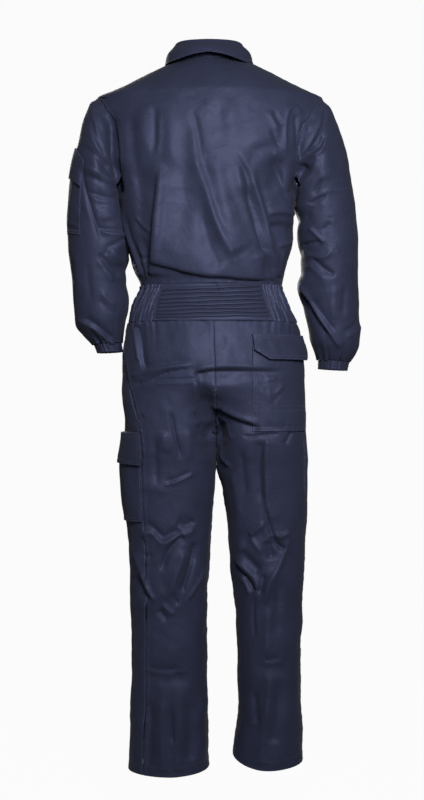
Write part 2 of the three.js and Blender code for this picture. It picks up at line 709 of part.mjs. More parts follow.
// The armhole edge of the bodice at the same turn: point, normal and the way out of the bodice
function armholeKnot(name, around) {
  const sign = name === 'left' ? 1 : -1;
  const facing = Math.sin(around) >= -1e-9 ? 1 : -1;
  const z = (SHOULDER_Z + UNDERARM_Z) / 2 + ((SHOULDER_Z - UNDERARM_Z) / 2) * Math.cos(around);
  const turn = sign * armholeTurn(z, facing);
  const { point, normal } = knot((height, angle) => torsoPoint(angle, height), z, turn, BODICE_STEPS, false);
  const radial = new THREE.Vector3(0, -Math.sin(around), -Math.cos(around));
  const along = new THREE.Vector3(0, Math.cos(around) * ARMHOLE_HALF_DEPTH, -Math.sin(around) * 100);
  const out = new THREE.Vector3().crossVectors(along, normal).normalize();
  if (out.dot(radial) < 0) out.negate();
  return { point, normal, out };
}

function sleevePoint(name, ring, around) {
  if (ring >= 1) return sleeveRing(name, ring, around);
  const start = armholeKnot(name, around);
  const end = sleeveRing(name, 1, around);
  const leave = sleeveRing(name, 1.2, around).sub(sleeveRing(name, 1, around)).multiplyScalar(5);
  const gap = end.distanceTo(start.point);
  const begin = start.out.clone().multiplyScalar(gap * 0.9);
  leave.setLength(Math.min(leave.length(), gap * 1.2));
  const t = ring;
  return start.point.clone().multiplyScalar((1 + 2 * t) * (1 - t) ** 2)
    .addScaledVector(begin, t * (1 - t) ** 2)
    .addScaledVector(end, t * t * (3 - 2 * t))
    .addScaledVector(leave, t * t * (t - 1));
}

const SLEEVE_ROWS = [0, 0.4, 0.75, 1.2, 2, 3, 4, 5, 6, 7, 8, 9, 10, 11, 12, 13, CUFF_RING];
const SLEEVE_TURNS = Array.from({ length: 2 * ARMHOLE_COUNT }, (_, k) => (Math.PI * k) / ARMHOLE_COUNT);
const sleeveNets = {};
for (const name of ['left', 'right']) {
  const flip = name === 'right';
  const net = SLEEVE_ROWS.map((ring) => SLEEVE_TURNS.map((around) => {
    if (ring > 0) return knot((row, turn) => sleevePoint(name, row, turn), ring, around, [0.03, 0.02], flip);
    const { point, normal, out } = armholeKnot(name, around);
    return { point: point.addScaledVector(out, EDGE), normal };
  }));
  sleeveNets[name] = net;
  const copy = net.map((row) => row.map(({ point, normal }) => ({ point: point.clone(), normal })));
  clothWall(`sleeve_${name}`, TWILL, trimmed(copy, ['bottom']), { round: true });
}

// Cuffs: a short band drawn in by its elastic, in small even gathers
const CUFF_GATHERS = 18;
const CUFF_GATHER_DEPTH = 0.9;
const CUFF_TAPER = 2;
const CUFF_GAP = 0.75;
function cuffNet(name) {
  const sign = name === 'left' ? 1 : -1;
  const [slopeX, slopeZ] = CUFF_SLOPE[name];
  const way = new THREE.Vector3(sign * slopeX, -0.08, slopeZ).normalize();
  const centre = sleeveRing(name, CUFF_RING, 0).lerp(sleeveRing(name, CUFF_RING, Math.PI), 0.5);
  const count = 2 * CUFF_GATHERS;
  return [0, 1].map((share) => Array.from({ length: count }, (_, j) => {
    const around = (2 * Math.PI * j) / count;
    const rim = sleeveRing(name, CUFF_RING, around);
    const outward = rim.clone().sub(centre).normalize();
    const gather = (j % 2 ? -2 : 0) * CUFF_GATHER_DEPTH - CUFF_TAPER * share;
    const point = rim.addScaledVector(outward, gather).addScaledVector(way, CUFF_GAP + share * CUFF_DROP);
    return { point, normal: outward };
  }));
}
for (const name of ['left', 'right']) clothWall(`cuff_${name}`, DARK_TWILL, cuffNet(name), { round: true });

// Back waist: a pleated panel with a gathered elastic side on each hand

function tuckRaise(z) {
  const down = (TUCK_TOP_Z - z) / TUCK_PITCH;
  if (down < 0 || down > TUCKS) return 0;
  return TUCK_RISE * (down - Math.floor(down));
}

const PANEL_SPANS = 10;
const panelTurns = Array.from({ length: PANEL_SPANS + 1 }, (_, j) => (
  degToRad(PANEL_TURN) * ((2 * j) / PANEL_SPANS - 1)
));
const TUCK_ROOT = 0.02;
const TUCK_LIP = 0.96;
const tuckRows = Array.from({ length: TUCKS }, (_, i) => {
  const top = TUCK_TOP_Z - i * TUCK_PITCH;
  return [top - TUCK_ROOT * TUCK_PITCH, top - TUCK_LIP * TUCK_PITCH];
}).flat();
const panelRows = [WAIST_Z, ...tuckRows, WAIST_END_Z];
const panelNet = panelRows.map((z) => panelTurns.map((turn) => torsoKnot(z, turn)));
clothWall('waistband_back', TWILL, trimmed(panelNet, ['top', 'bottom', 'start', 'end']), {
  raise: (i) => tuckRaise(panelRows[i]),
});

const SIDE_GATHERS = 7;
const SIDE_RIDGE = 1.6;
const SIDE_TROUGH = -0.6;
const SIDE_PIECE_ROWS = [WAIST_Z, -498, -518, -538, WAIST_END_Z];
for (const name of ['left', 'right']) {
  const sign = name === 'left' ? 1 : -1;
  const spans = 2 * SIDE_GATHERS;
  const turns = Array.from({ length: spans + 1 }, (_, j) => degToRad(sign * lerp(PANEL_TURN, 90, j / spans)));
  const net = SIDE_PIECE_ROWS.map((z) => turns.map((turn) => torsoKnot(z, turn)));
  net.forEach((row, i) => row.forEach(({ point, normal }, j) => {
    const inside = i > 0 && i < SIDE_PIECE_ROWS.length - 1 && j > 0 && j < spans;
    if (inside) point.addScaledVector(normal, j % 2 ? SIDE_RIDGE : SIDE_TROUGH);
  }));
  trimmed(net, ['start'], { amount: SEAM_GAP });
  clothWall(`waist_side_${name}`, DARK_TWILL, trimmed(net, ['top', 'bottom', 'end']));
}

// Trousers

const HALF_STEPS = [0.5, 0.006];
const CENTRE_LINES = [0, 0.04, 0.12, 0.25, 0.42, 0.6, 0.8, 1];
const FRONT_LINES = CENTRE_LINES.map((t) => 2 - t).reverse();
const LEG_ROWS = [
  -600, -640, -680, -700, -720, -745, -768, -786, -796, CROTCH_Z, -804, -812, -830, -860, -900,
  -940, -980, -1020, -1060, -1105, -1150, -1210, -1270, KNEE_Z, -1350, -1400, -1455, HEM_Z,
];

function hemmed(name, t, z) {
  return z > KNEE_Z ? z : KNEE_Z + ((z - KNEE_Z) * (HEMS[name](t) - KNEE_Z)) / (HEM_Z - KNEE_Z);
}

// Columns are numbered from the centre back (0) by the outseam (1) to the centre front (2)
function turnAt(name, column, row) {
  const seam = row > WAIST_END_Z ? 1 : OUTSEAM[name](row);
  return column <= 1 ? column * seam : 2 - (2 - column) * (2 - seam);
}

function halfKnot(name, column, row) {
  const t = turnAt(name, column, row);
  const z = hemmed(name, t, row);
  const found = knot((height, at) => halfPoint(name, at, height), z, t, HALF_STEPS, name === 'right');
  const centre = t === 0 || t === 2;
  if (row === WAIST_Z || row === WAIST_END_Z) levelled(found);
  if (centre && row >= CROTCH_Z) found.point.x += name === 'left' ? EDGE : -EDGE;
  if (centre && row > CROTCH_Z) found.normal.setX(0).normalize();
  if (centre && row === CROTCH_Z) found.normal.set(0, 0, -1);
  if (centre && row === LEG_ROWS[LEG_ROWS.indexOf(CROTCH_Z) + 1]) {
    found.normal.set(name === 'left' ? -0.8 : 0.8, 0, -0.6);
  }
  return found;
}

// Beside the zip the front edge stands off the centre line by half the zip's width
function zipTurn(name, z) {
  const half = name === 'left' ? TORSO.left(z) - MIDDLE(z) : MIDDLE(z) - TORSO.right(z);
  return 2 - (2 / Math.PI) * Math.asin(ZIP_HALF / half);
}

const halfNets = {};
for (const name of ['left', 'right']) {
  const backLegRows = [WAIST_END_Z, ...LEG_ROWS];
  const back = backLegRows.map((row) => CENTRE_LINES.map((t) => halfKnot(name, t, row)));
  const frontLegRows = [...SIDE_PIECE_ROWS, ...LEG_ROWS];
  const front = frontLegRows.map((row) => FRONT_LINES.map((t) => {
    const beside = row > ZIP_END_Z - 4 && t > 1.5;
    return halfKnot(name, beside ? Math.min(t, zipTurn(name, row) - (2 - t) * 0.25) : t, row);
  }));
  const columns = [...CENTRE_LINES, ...FRONT_LINES.slice(1)];
  const whole = backLegRows.map((row) => columns.map((t) => halfKnot(name, t, row)));
  halfNets[name] = { net: whole, rows: backLegRows, columns };
  trimmed(back, ['top', 'end']);
  trimmed(back, ['start'], { keep: (i) => backLegRows[i] > CROTCH_Z });
  trimmed(front, ['top', 'start']);
  trimmed(front, ['end'], { keep: (i) => frontLegRows[i] > CROTCH_Z });
  clothWall(`trouser_back_${name}`, TWILL, back);
  clothWall(`trouser_front_${name}`, TWILL, front);
}

// Patch pockets and flaps

const sleeveBase = {
  net: sleeveNets.left.map((row) => [...row.slice(-4), ...row.slice(0, 7)]),
  rows: SLEEVE_ROWS,
  columns: Array.from({ length: 11 }, (_, k) => ((k - 4) * 180) / ARMHOLE_COUNT),
};
const { left: onLeft, right: onRight } = halfNets;
const PATCHES = rowsOf(
  ['name', 'base', 'top', 'bottom', 'start', 'end', 'lift', 'hang', 'puff', 'plumbX'],
  [
    ['hip_pocket', onRight, -612, -789, 0.27, 0.97, LAID_ON + 1.3, 0, 0, -82],
    ['hip_pocket_flap', onRight, -588, -640, 0.28, 0.99, 2 * LAID_ON + 1.5, 4, 0, null],
    ['cargo_pocket', onLeft, -822, -982, 1.01, 1.53, LAID_ON + 0.4, 0, 5, null],
    ['cargo_pocket_flap', onLeft, -792, -858, 0.985, 1.545, 2 * LAID_ON + 2, 8, 0, null],
    ['tool_pocket', onRight, -797, -952, 0.86, 1.22, LAID_ON, 0, 0, null],
    ['sleeve_pocket', sleeveBase, 3.7, 6.3, -58, 62, LAID_ON, 0, 0, null],
    ['sleeve_pocket_flap', sleeveBase, 3.3, 4.5, -61, 65, 2 * LAID_ON, 3, 0, null],
  ],
);
PATCHES.forEach(patch);

// Zip: a strip of tape between the front edges, with a slider and its pull tab

const zipRows = [
  ...BODICE_ROWS.filter((z) => z < SHOULDER_Z), -518, WAIST_END_Z, -600, -640, -680, ZIP_END_Z + 1,
];
const zipNet = netOf((z, across) => {
  const half = across > 0 ? TORSO.left(z) - MIDDLE(z) : MIDDLE(z) - TORSO.right(z);
  return torsoPoint(Math.PI - Math.asin(across / half), z);
}, zipRows, [ZIP_HALF - SEAM_GAP, 0, SEAM_GAP - ZIP_HALF], [0.5, 0.5], true);
clothWall('zip_tape', TAPE, zipNet);

const zipFront = knot(TORSO_SURFACE, SLIDER_Z, Math.PI, BODICE_STEPS, false);
const sliderFrame = new THREE.Matrix4().makeBasis(
  new THREE.Vector3(1, 0, 0),
  new THREE.Vector3().crossVectors(zipFront.normal, new THREE.Vector3(1, 0, 0)).normalize(),
  zipFront.normal.clone().setX(0).normalize(),
);
sliderFrame.setPosition(zipFront.point.clone().addScaledVector(zipFront.normal, WALL / 2 + SEAM_GAP));

function toSolid(geometry) {
  const plain = geometry.clone();
  plain.deleteAttribute('normal');
  plain.deleteAttribute('uv');
  const merged = mergeVertices(plain, 1e-4);
  return new wasm.Manifold(new wasm.Mesh({
    numProp: 3,
    vertProperties: new Float32Array(merged.attributes.position.array),
    triVerts: new Uint32Array(merged.index.array),
  }));
}

function addSolid(name, finish, solid, frame) {
  const mesh = solid.getMesh();
  const positions = [];
  for (let i = 0; i < mesh.vertProperties.length; i += mesh.numProp) {
    const point = new THREE.Vector3(...mesh.vertProperties.slice(i, i + 3)).applyMatrix4(frame);
    positions.push(...point.toArray());
  }
  const faces = [];
  for (let i = 0; i < mesh.triVerts.length; i += 3) faces.push([...mesh.triVerts.slice(i, i + 3)]);
  addMesh(name, finish, positions, faces);
}

const PLATE = { width: 9, length: 13, thick: 2.2 };
const BAIL = { width: 2.2, inside: 5, height: 3, band: 1.2 };

function plateShape() {
  const shape = new THREE.Shape();
  const half = PLATE.width / 2;
  const long = PLATE.length / 2;
  shape.moveTo(-half, -long + 3);
  shape.lineTo(-half * 0.55, -long);
  shape.lineTo(half * 0.55, -long);
  shape.lineTo(half, -long + 3);
  shape.lineTo(half, long - 1.5);
  shape.lineTo(half - 1.5, long);
  shape.lineTo(-half + 1.5, long);
  shape.lineTo(-half, long - 1.5);
  shape.closePath();
  return shape;
}

// The bail seen from the side: along the zip in x, away from it in y
function bailShape() {
  const inner = BAIL.inside / 2;
  const outer = inner + BAIL.band;
  const top = BAIL.height + BAIL.band;
  const shape = new THREE.Shape();
  shape.moveTo(-outer, -0.5);
  shape.lineTo(-inner, -0.5);
  shape.lineTo(-inner, BAIL.height - 1);
  shape.lineTo(1 - inner, BAIL.height);
  shape.lineTo(inner - 1, BAIL.height);
  shape.lineTo(inner, BAIL.height - 1);
  shape.lineTo(inner, -0.5);
  shape.lineTo(outer, -0.5);
  shape.lineTo(outer, top - 1.4);
  shape.lineTo(outer - 1.4, top);
  shape.lineTo(1.4 - outer, top);
  shape.lineTo(-outer, top - 1.4);
  shape.closePath();
  return shape;
}

const plate = new THREE.ExtrudeGeometry(plateShape(), { depth: PLATE.thick, bevelEnabled: false });
const bail = new THREE.ExtrudeGeometry(bailShape(), { depth: BAIL.width, bevelEnabled: false });
bail.translate(0, 0, -BAIL.width / 2);
bail.applyMatrix4(new THREE.Matrix4().makeBasis(
  new THREE.Vector3(0, 1, 0),
  new THREE.Vector3(0, 0, 1),
  new THREE.Vector3(1, 0, 0),
));
bail.translate(0, 0, PLATE.thick);
addSolid('zip_slider', BRASS, toSolid(plate).add(toSolid(bail)), sliderFrame);

// The tab's eye hangs on the bail, and the tab lies down the zip
const HINGE_LIFT = PLATE.thick + BAIL.height / 2;
function tabShape() {
  const half = TAB_WIDTH / 2;
  const eye = TAB_THICK / 2;
  const shape = new THREE.Shape();
  shape.moveTo(-2.6, eye);
  shape.lineTo(-half, -eye);
  shape.lineTo(-half, 3 - TAB_LENGTH);
  shape.absarc(0, 3 - TAB_LENGTH, half, Math.PI, 2 * Math.PI, false);
  shape.lineTo(half, -eye);
  shape.lineTo(2.6, eye);
  shape.closePath();
  const hole = new THREE.Path();
  hole.moveTo(-1.6, -eye);
  hole.lineTo(1.6, -eye);
  hole.lineTo(1.6, -6.2);
  hole.lineTo(-1.6, -6.2);
  hole.closePath();
  shape.holes.push(hole);
  return shape;
}
const tab = new THREE.ExtrudeGeometry(tabShape(), {
  depth: TAB_THICK, bevelEnabled: false, curveSegments: 8,
});
tab.translate(0, 0, HINGE_LIFT - TAB_THICK / 2);
addSolid('zip_pull', BRASS, toSolid(tab), sliderFrame);

export default object;
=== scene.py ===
"""A navy twill boiler suit, filled out as it is when worn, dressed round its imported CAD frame.

Each piece of cloth is a thin shell on its solid's own form, with its creases, seams and stitches.
Tables are in millimetres in the part's frame: +X the wearer's left, -Y the front, +Z up."""

import math

import bpy
import numpy as np
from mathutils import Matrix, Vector


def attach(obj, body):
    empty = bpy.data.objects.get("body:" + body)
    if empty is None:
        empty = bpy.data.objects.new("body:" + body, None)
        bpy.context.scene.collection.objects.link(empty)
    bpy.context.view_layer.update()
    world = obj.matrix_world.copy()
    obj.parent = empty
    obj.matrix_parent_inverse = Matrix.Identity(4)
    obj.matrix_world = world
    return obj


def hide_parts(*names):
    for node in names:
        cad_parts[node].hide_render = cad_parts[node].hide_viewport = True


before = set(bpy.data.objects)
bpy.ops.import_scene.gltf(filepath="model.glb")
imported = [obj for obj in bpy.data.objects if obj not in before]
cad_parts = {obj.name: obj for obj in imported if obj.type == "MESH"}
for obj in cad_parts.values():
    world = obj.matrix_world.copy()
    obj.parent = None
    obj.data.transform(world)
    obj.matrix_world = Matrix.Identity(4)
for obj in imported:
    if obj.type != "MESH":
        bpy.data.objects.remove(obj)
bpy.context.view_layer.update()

bl_info = {
    "name": "Boiler suit",
    "version": (1, 0, 0),
    "blender": (4, 5, 0),
    "location": "3D View > Sidebar > Boiler suit",
    "description": "Makes the cloth, seams, pockets and zip of a worn boiler suit",
    "category": "Object",
}

MM = 0.001
SIDES = ("start", "end", "top", "bottom")
WALL = 1.8
OUTER = WALL / 2

# Levels of the cut, from the neck down
NECK_Z = 4.0
NECK_HALF = 74.0
NECK_DROP = 76.0
SHOULDER_Z = -74.0
UNDERARM_Z = -275.0
ARMHOLE_MIDDLE_Z = (SHOULDER_Z + UNDERARM_Z) / 2
ARMHOLE_HALF_HEIGHT = (SHOULDER_Z - UNDERARM_Z) / 2
ARMHOLE_HALF_DEPTH = 72.0
UNDERARM_FLARE = 8.0
UNDERARM_FLARE_DEPTH = 40.0
WAIST_Z = -478.0
WAIST_END_Z = -558.0
SPLIT_Z = -670.0
CROTCH_Z = -800.0
THIGH_Z = -860.0
KNEE_Z = -1300.0
HEM_Z = -1515.0
PANEL_TURN = 45.0
ZIP_HALF = 7.0
ZIP_END_Z = -697.0
CENTRE_CLEAR = 1.9
LEG_CORNER = 0.86
CUFF_RING = 14.0
CUFF_DROP = 19.0
CUFF_SLOPE = {"left": (-0.28, -1.0), "right": (-0.12, -1.0)}
HEM_DROP = WAIST_END_Z - HEM_Z
HIP_DIVISION_Z = -738.0
DIVISION_DROPS = (0, -7)
SLIDER_LOW_Z = -97.0
SLIDER_HIGH_Z = -82.0
TOOTH_PITCH = 2.4
BODY_AXIS = np.array((3.0, 0.0, 0.0))
BLOUSE_MIDDLE_X = 10.0
SIGNS = {"left": 1.0, "right": -1.0}

# The camera behind the suit, one picture pixel at the suit's middle, and the origin's place in the
# picture. How far a normal has to turn back or forward before a crease seen from there shows fully
CAMERA_DISTANCE = 3000.0
CAMERA_Z = -724.0
PIXEL = 2.168
ORIGIN_PIXEL_X = 213
ORIGIN_PIXEL_Y = 66
FACING = (0.02, 0.3)
# Creases are worked out this many of their widths away
CREASE_REACH = 3.0


# Tables and curves

def smooth(value, low, high):
    share = np.clip((value - low) / (high - low), 0.0, 1.0)
    return share * share * (3.0 - 2.0 * share)


def mix(a, b, share):
    return a + (b - a) * share


class Track:
    """A smooth curve through one column of a table, straight on past its ends."""

    def __init__(self, at, values):
        order = np.argsort(at)
        self.x = np.asarray(at, float)[order]
        self.y = np.asarray(values, float)[order]
        secant = np.diff(self.y) / np.diff(self.x)
        inner = np.zeros(len(secant) - 1)
        same = secant[:-1] * secant[1:] > 0
        total = np.where(same, secant[:-1] + secant[1:], 1.0)
        inner[same] = (2 * secant[:-1] * secant[1:] / total)[same]
        self.slope = np.concatenate([[secant[0]], inner, [secant[-1]]])

    def __call__(self, at):
        at = np.asarray(at, float)
        x = np.clip(at, self.x[0], self.x[-1])
        i = np.clip(np.searchsorted(self.x, x, side="left") - 1, 0, len(self.x) - 2)
        span = self.x[i + 1] - self.x[i]
        t = (x - self.x[i]) / span
        start = (1 + 2 * t) * (1 - t) ** 2 * self.y[i] + t * (1 - t) ** 2 * span * self.slope[i]
        end = t * t * (3 - 2 * t) * self.y[i + 1] + t * t * (t - 1) * span * self.slope[i + 1]
        past = np.where(at < x, self.slope[0], self.slope[-1])
        return start + end + (at - x) * past


def tracks(columns, rows):
    table = np.array(rows, float)
    return {name: Track(table[:, 0], table[:, i]) for i, name in enumerate(columns) if i}


TORSO = tracks(("z", "left", "right", "back", "side", "front", "corner"), [
    (4, 83, -65, 60, 0, -50, 1.0),
    (-6, 104, -96, 72, 6, -54, 1.15),
    (-20, 134, -125, 86, 8, -60, 1.38),
    (-40, 178, -165, 98, 8, -66, 1.45),
    (-60, 223, -208, 107, 7, -72, 1.3),
    (-74, 250, -236, 112, 6, -77, 1.15),
    (-95, 252, -238, 116, 5, -85, 0.96),
    (-130, 243, -229, 121, 4, -97, 0.8),
    (-190, 222, -210, 125, 4, -110, 0.71),
    (-275, 204, -180, 122, 4, -118, 0.7),
    (-320, 199, -172, 119, 4, -117, 0.74),
    (-377, 188, -171, 115, 3, -114, 0.78),
    (-415, 178, -162, 111, 2, -111, 0.8),
    (-446, 169, -153, 107, 1, -109, 0.83),
    (-479, 156, -148, 100, -2, -106, 0.85),
    (-520, 172, -162, 106, 0, -111, 0.85),
    (-558, 182, -180, 118, 2, -116, 0.85),
    (-620, 193, -192, 132, 4, -119, 0.82),
    (-680, 194, -194, 137, 6, -117, 0.8),
    (-740, 193, -196, 133, 6, -110, 0.8),
    (-800, 192, -198, 120, 6, -100, 0.8),
    (-870, 192, -200, 108, 5, -92, 0.8),
])

MIDDLE = Track(
    (4, -100, -400, -478, -600, -700, -800, -870),
    (9, 5, 3, 1, -3, -6, -7, -7),
)

LEG_COLUMNS = ("z", "outer", "inner", "back", "front")
LEGS = {
    "left": tracks(LEG_COLUMNS, [
        (-720, 193, -6, 134, -108),
        (-800, 192, -7, 120, -100),
        (-830, 192, -5.6, 110, -95),
        (-867, 194, -5, 97, -90),
        (-903, 192, -4, 92, -87),
        (-941, 190.8, -1, 88, -85),
        (-976, 189, 2, 84, -84),
        (-1060, 181, 8.7, 77, -82),
        (-1143, 178.5, 13.5, 70, -78),
        (-1201, 177, 14, 68, -74),
        (-1280, 176.7, 14.3, 66, -69),
        (-1369, 175.8, 13.7, 64, -65),
        (-1453, 180.6, 11, 64, -64),
        (-1530, 183.5, 7, 66, -64),
    ]),
    "right": tracks(LEG_COLUMNS, [
        (-720, 195, 6, 134, -108),
        (-800, 198, 7, 120, -100),
        (-830, 200, 9, 110, -95),
        (-867, 201, 11, 97, -90),
        (-922, 201, 24, 89, -87),
        (-976, 199.5, 30, 84, -84),
        (-1028, 197.7, 33.4, 80, -83),
        (-1089, 194.7, 41, 75, -81),
        (-1201, 191, 50, 71, -76),
        (-1267, 187.6, 53, 69, -72),
        (-1369, 188.5, 54.6, 67, -68),
        (-1464, 192.5, 46.6, 67, -66),
        (-1510, 195, 40, 68, -66),
    ]),
}

OUTSEAM = {
    "left": Track((-558, -610, -680, -770, -1000, -1530), (1, 0.88, 0.75, 0.69, 0.69, 0.72)),
    "right": Track((-558, -1530), (1, 1)),
}

HEMS = {
    "left": Track((0, 0.5, 1, 1.5, 2), (-1511, -1524, -1519, -1512, -1511)),
    "right": Track((0, 0.5, 1, 1.5, 2), (-1487, -1510, -1499, -1490, -1487)),
}

SLEEVE_COLUMNS = ("ring", "outerX", "outerZ", "innerX", "innerZ", "y", "depth")
SLEEVES = {
    "left": tracks(SLEEVE_COLUMNS, [
        (1, 265, -87, 219, -284, 5, 83),
        (2, 279, -122, 219, -296, 5, 83),
        (3, 290, -168, 216, -310, 3, 81),
        (4, 300, -212, 212, -328, 0, 78),
        (5, 309, -280, 204, -356, -3, 75),
        (6, 314, -350, 194, -388, -7, 72),
        (7, 314.5, -392, 185, -414, -10, 70),
        (8, 311, -430, 189, -440, -14, 69),
        (9, 307, -462, 191, -468, -18, 68),
        (10, 302, -505, 183, -500, -23, 67),
        (11, 299, -536, 184, -526, -27, 66),
        (12, 296, -560, 192, -554, -31, 63),
        (13, 282, -580, 196, -578, -35, 56),
        (14, 261, -602, 201, -599, -39, 44),
    ]),
    "right": tracks(SLEEVE_COLUMNS, [
        (1, 254, -95, 196, -284, 5, 83),
        (2, 267, -128, 196, -296, 5, 83),
        (3, 282, -176, 192, -312, 3, 81),
        (4, 294, -220, 187, -332, 0, 78),
        (5, 306, -284, 182, -362, -3, 75),
        (6, 311, -345, 185, -388, -7, 72),
        (7, 313.5, -395, 193, -414, -10, 70),
        (8, 315, -440, 190, -446, -14, 69),
        (9, 317, -480, 187, -478, -18, 68),
        (10, 318.5, -530, 198, -526, -24, 67),
        (11, 319.5, -570, 208, -565, -29, 66),
        (12, 319, -602, 214, -596, -33, 62),
        (13, 312, -623, 223, -616, -37, 54),
        (14, 299, -640, 231, -636, -40, 42),
    ]),
}

BLOUSE_LINE = Track((-160, -82, 2, 54, 128, 160), (-462, -462, -457, -449, -423, -415))
BLOUSE_RISE = 11.0
BLOUSE_STEP = 8.0
BLOUSE_REACH = 95.0
BLOUSE_DROOP = 7.0

COLLAR_MIDDLE = np.array((9.0, 2.0, 0.0))
COLLAR = tracks(("turn", "stand", "lean", "reach", "edgeX", "edgeY", "clear", "low"), [
    (0, 37, 0.1, 5, 0, 91, 4, 9),
    (20, 37, 0.1, 5, 33, 86, 4, 5),
    (45, 38, 0.11, 5, 69, 66, 4, -3),
    (70, 39, 0.13, 5, 89, 32, 4, -5),
    (90, 39, 0.15, 5, 95, 3, 4, -8),
    (112, 37, 0.2, 5, 90, -34, 6, -60),
    (135, 34, 0.26, 6, 80, -62, 9, -120),
    (160, 31, 0.3, 7, 62, -84, 12, -150),
    (180, 29, 0.3, 7, 42, -92, 14, -160),
])

# The broad folds that the solids have too: (x0, z0, x1, z1, bow, width, lift)
BACK_FOLDS = [
    (114, -215, 132, -440, 3, 13, 6),
    (148, -210, 160, -430, 4, 13, -5),
    (-50, -185, -135, -458, -16, 17, 8),
    (-128, -190, -158, -440, -10, 20, -7),
    (24, -180, -38, -425, 12, 18, 5),
    (60, -120, 66, -430, 4, 22, -4),
    (-160, -170, -60, -215, 6, 14, -3.5),
    (-150, -200, -110, -300, 6, 15, -4),
    (60, -672, -70, -672, -8, 12, -5),
    (150, -668, 40, -650, 4, 12, 3.5),
    (168, -700, 28, -688, 4, 12, 3),
    (30, -765, -100, -800, 6, 13, -4),
]
FRONT_FOLDS = [
    (120, -190, 128, -450, 6, 18, 5),
    (-114, -190, -124, -450, -6, 18, 5),
    (62, -150, 78, -440, 6, 20, -4),
    (-60, -150, -70, -440, -5, 20, -4),
    (140, -640, 46, -700, 6, 15, -4),
    (-142, -640, -50, -704, -6, 15, -4),
    (150, -690, 34, -775, 6, 16, 4),
    (-150, -690, -46, -775, -6, 16, 4),
]
LEG_FOLDS = {
    "left": [
        (165, -900, 92, -926, 5, 14, 4),
        (160, -1036, 96, -1010, 6, 16, -4),
        (60, -1142, 24, -1060, 5, 17, 5),
        (150, -1180, 90, -1120, 6, 18, 4),
        (160, -1310, 40, -1322, 4, 18, -4),
    ],
    "right": [
        (-56, -1036, -120, -1004, 6, 16, -4),
        (-88, -1160, -150, -1082, 6, 18, 5),
        (-70, -1120, -58, -1010, 5, 16, 4),
        (-80, -1290, -170, -1302, 4, 18, -4),
    ],
}

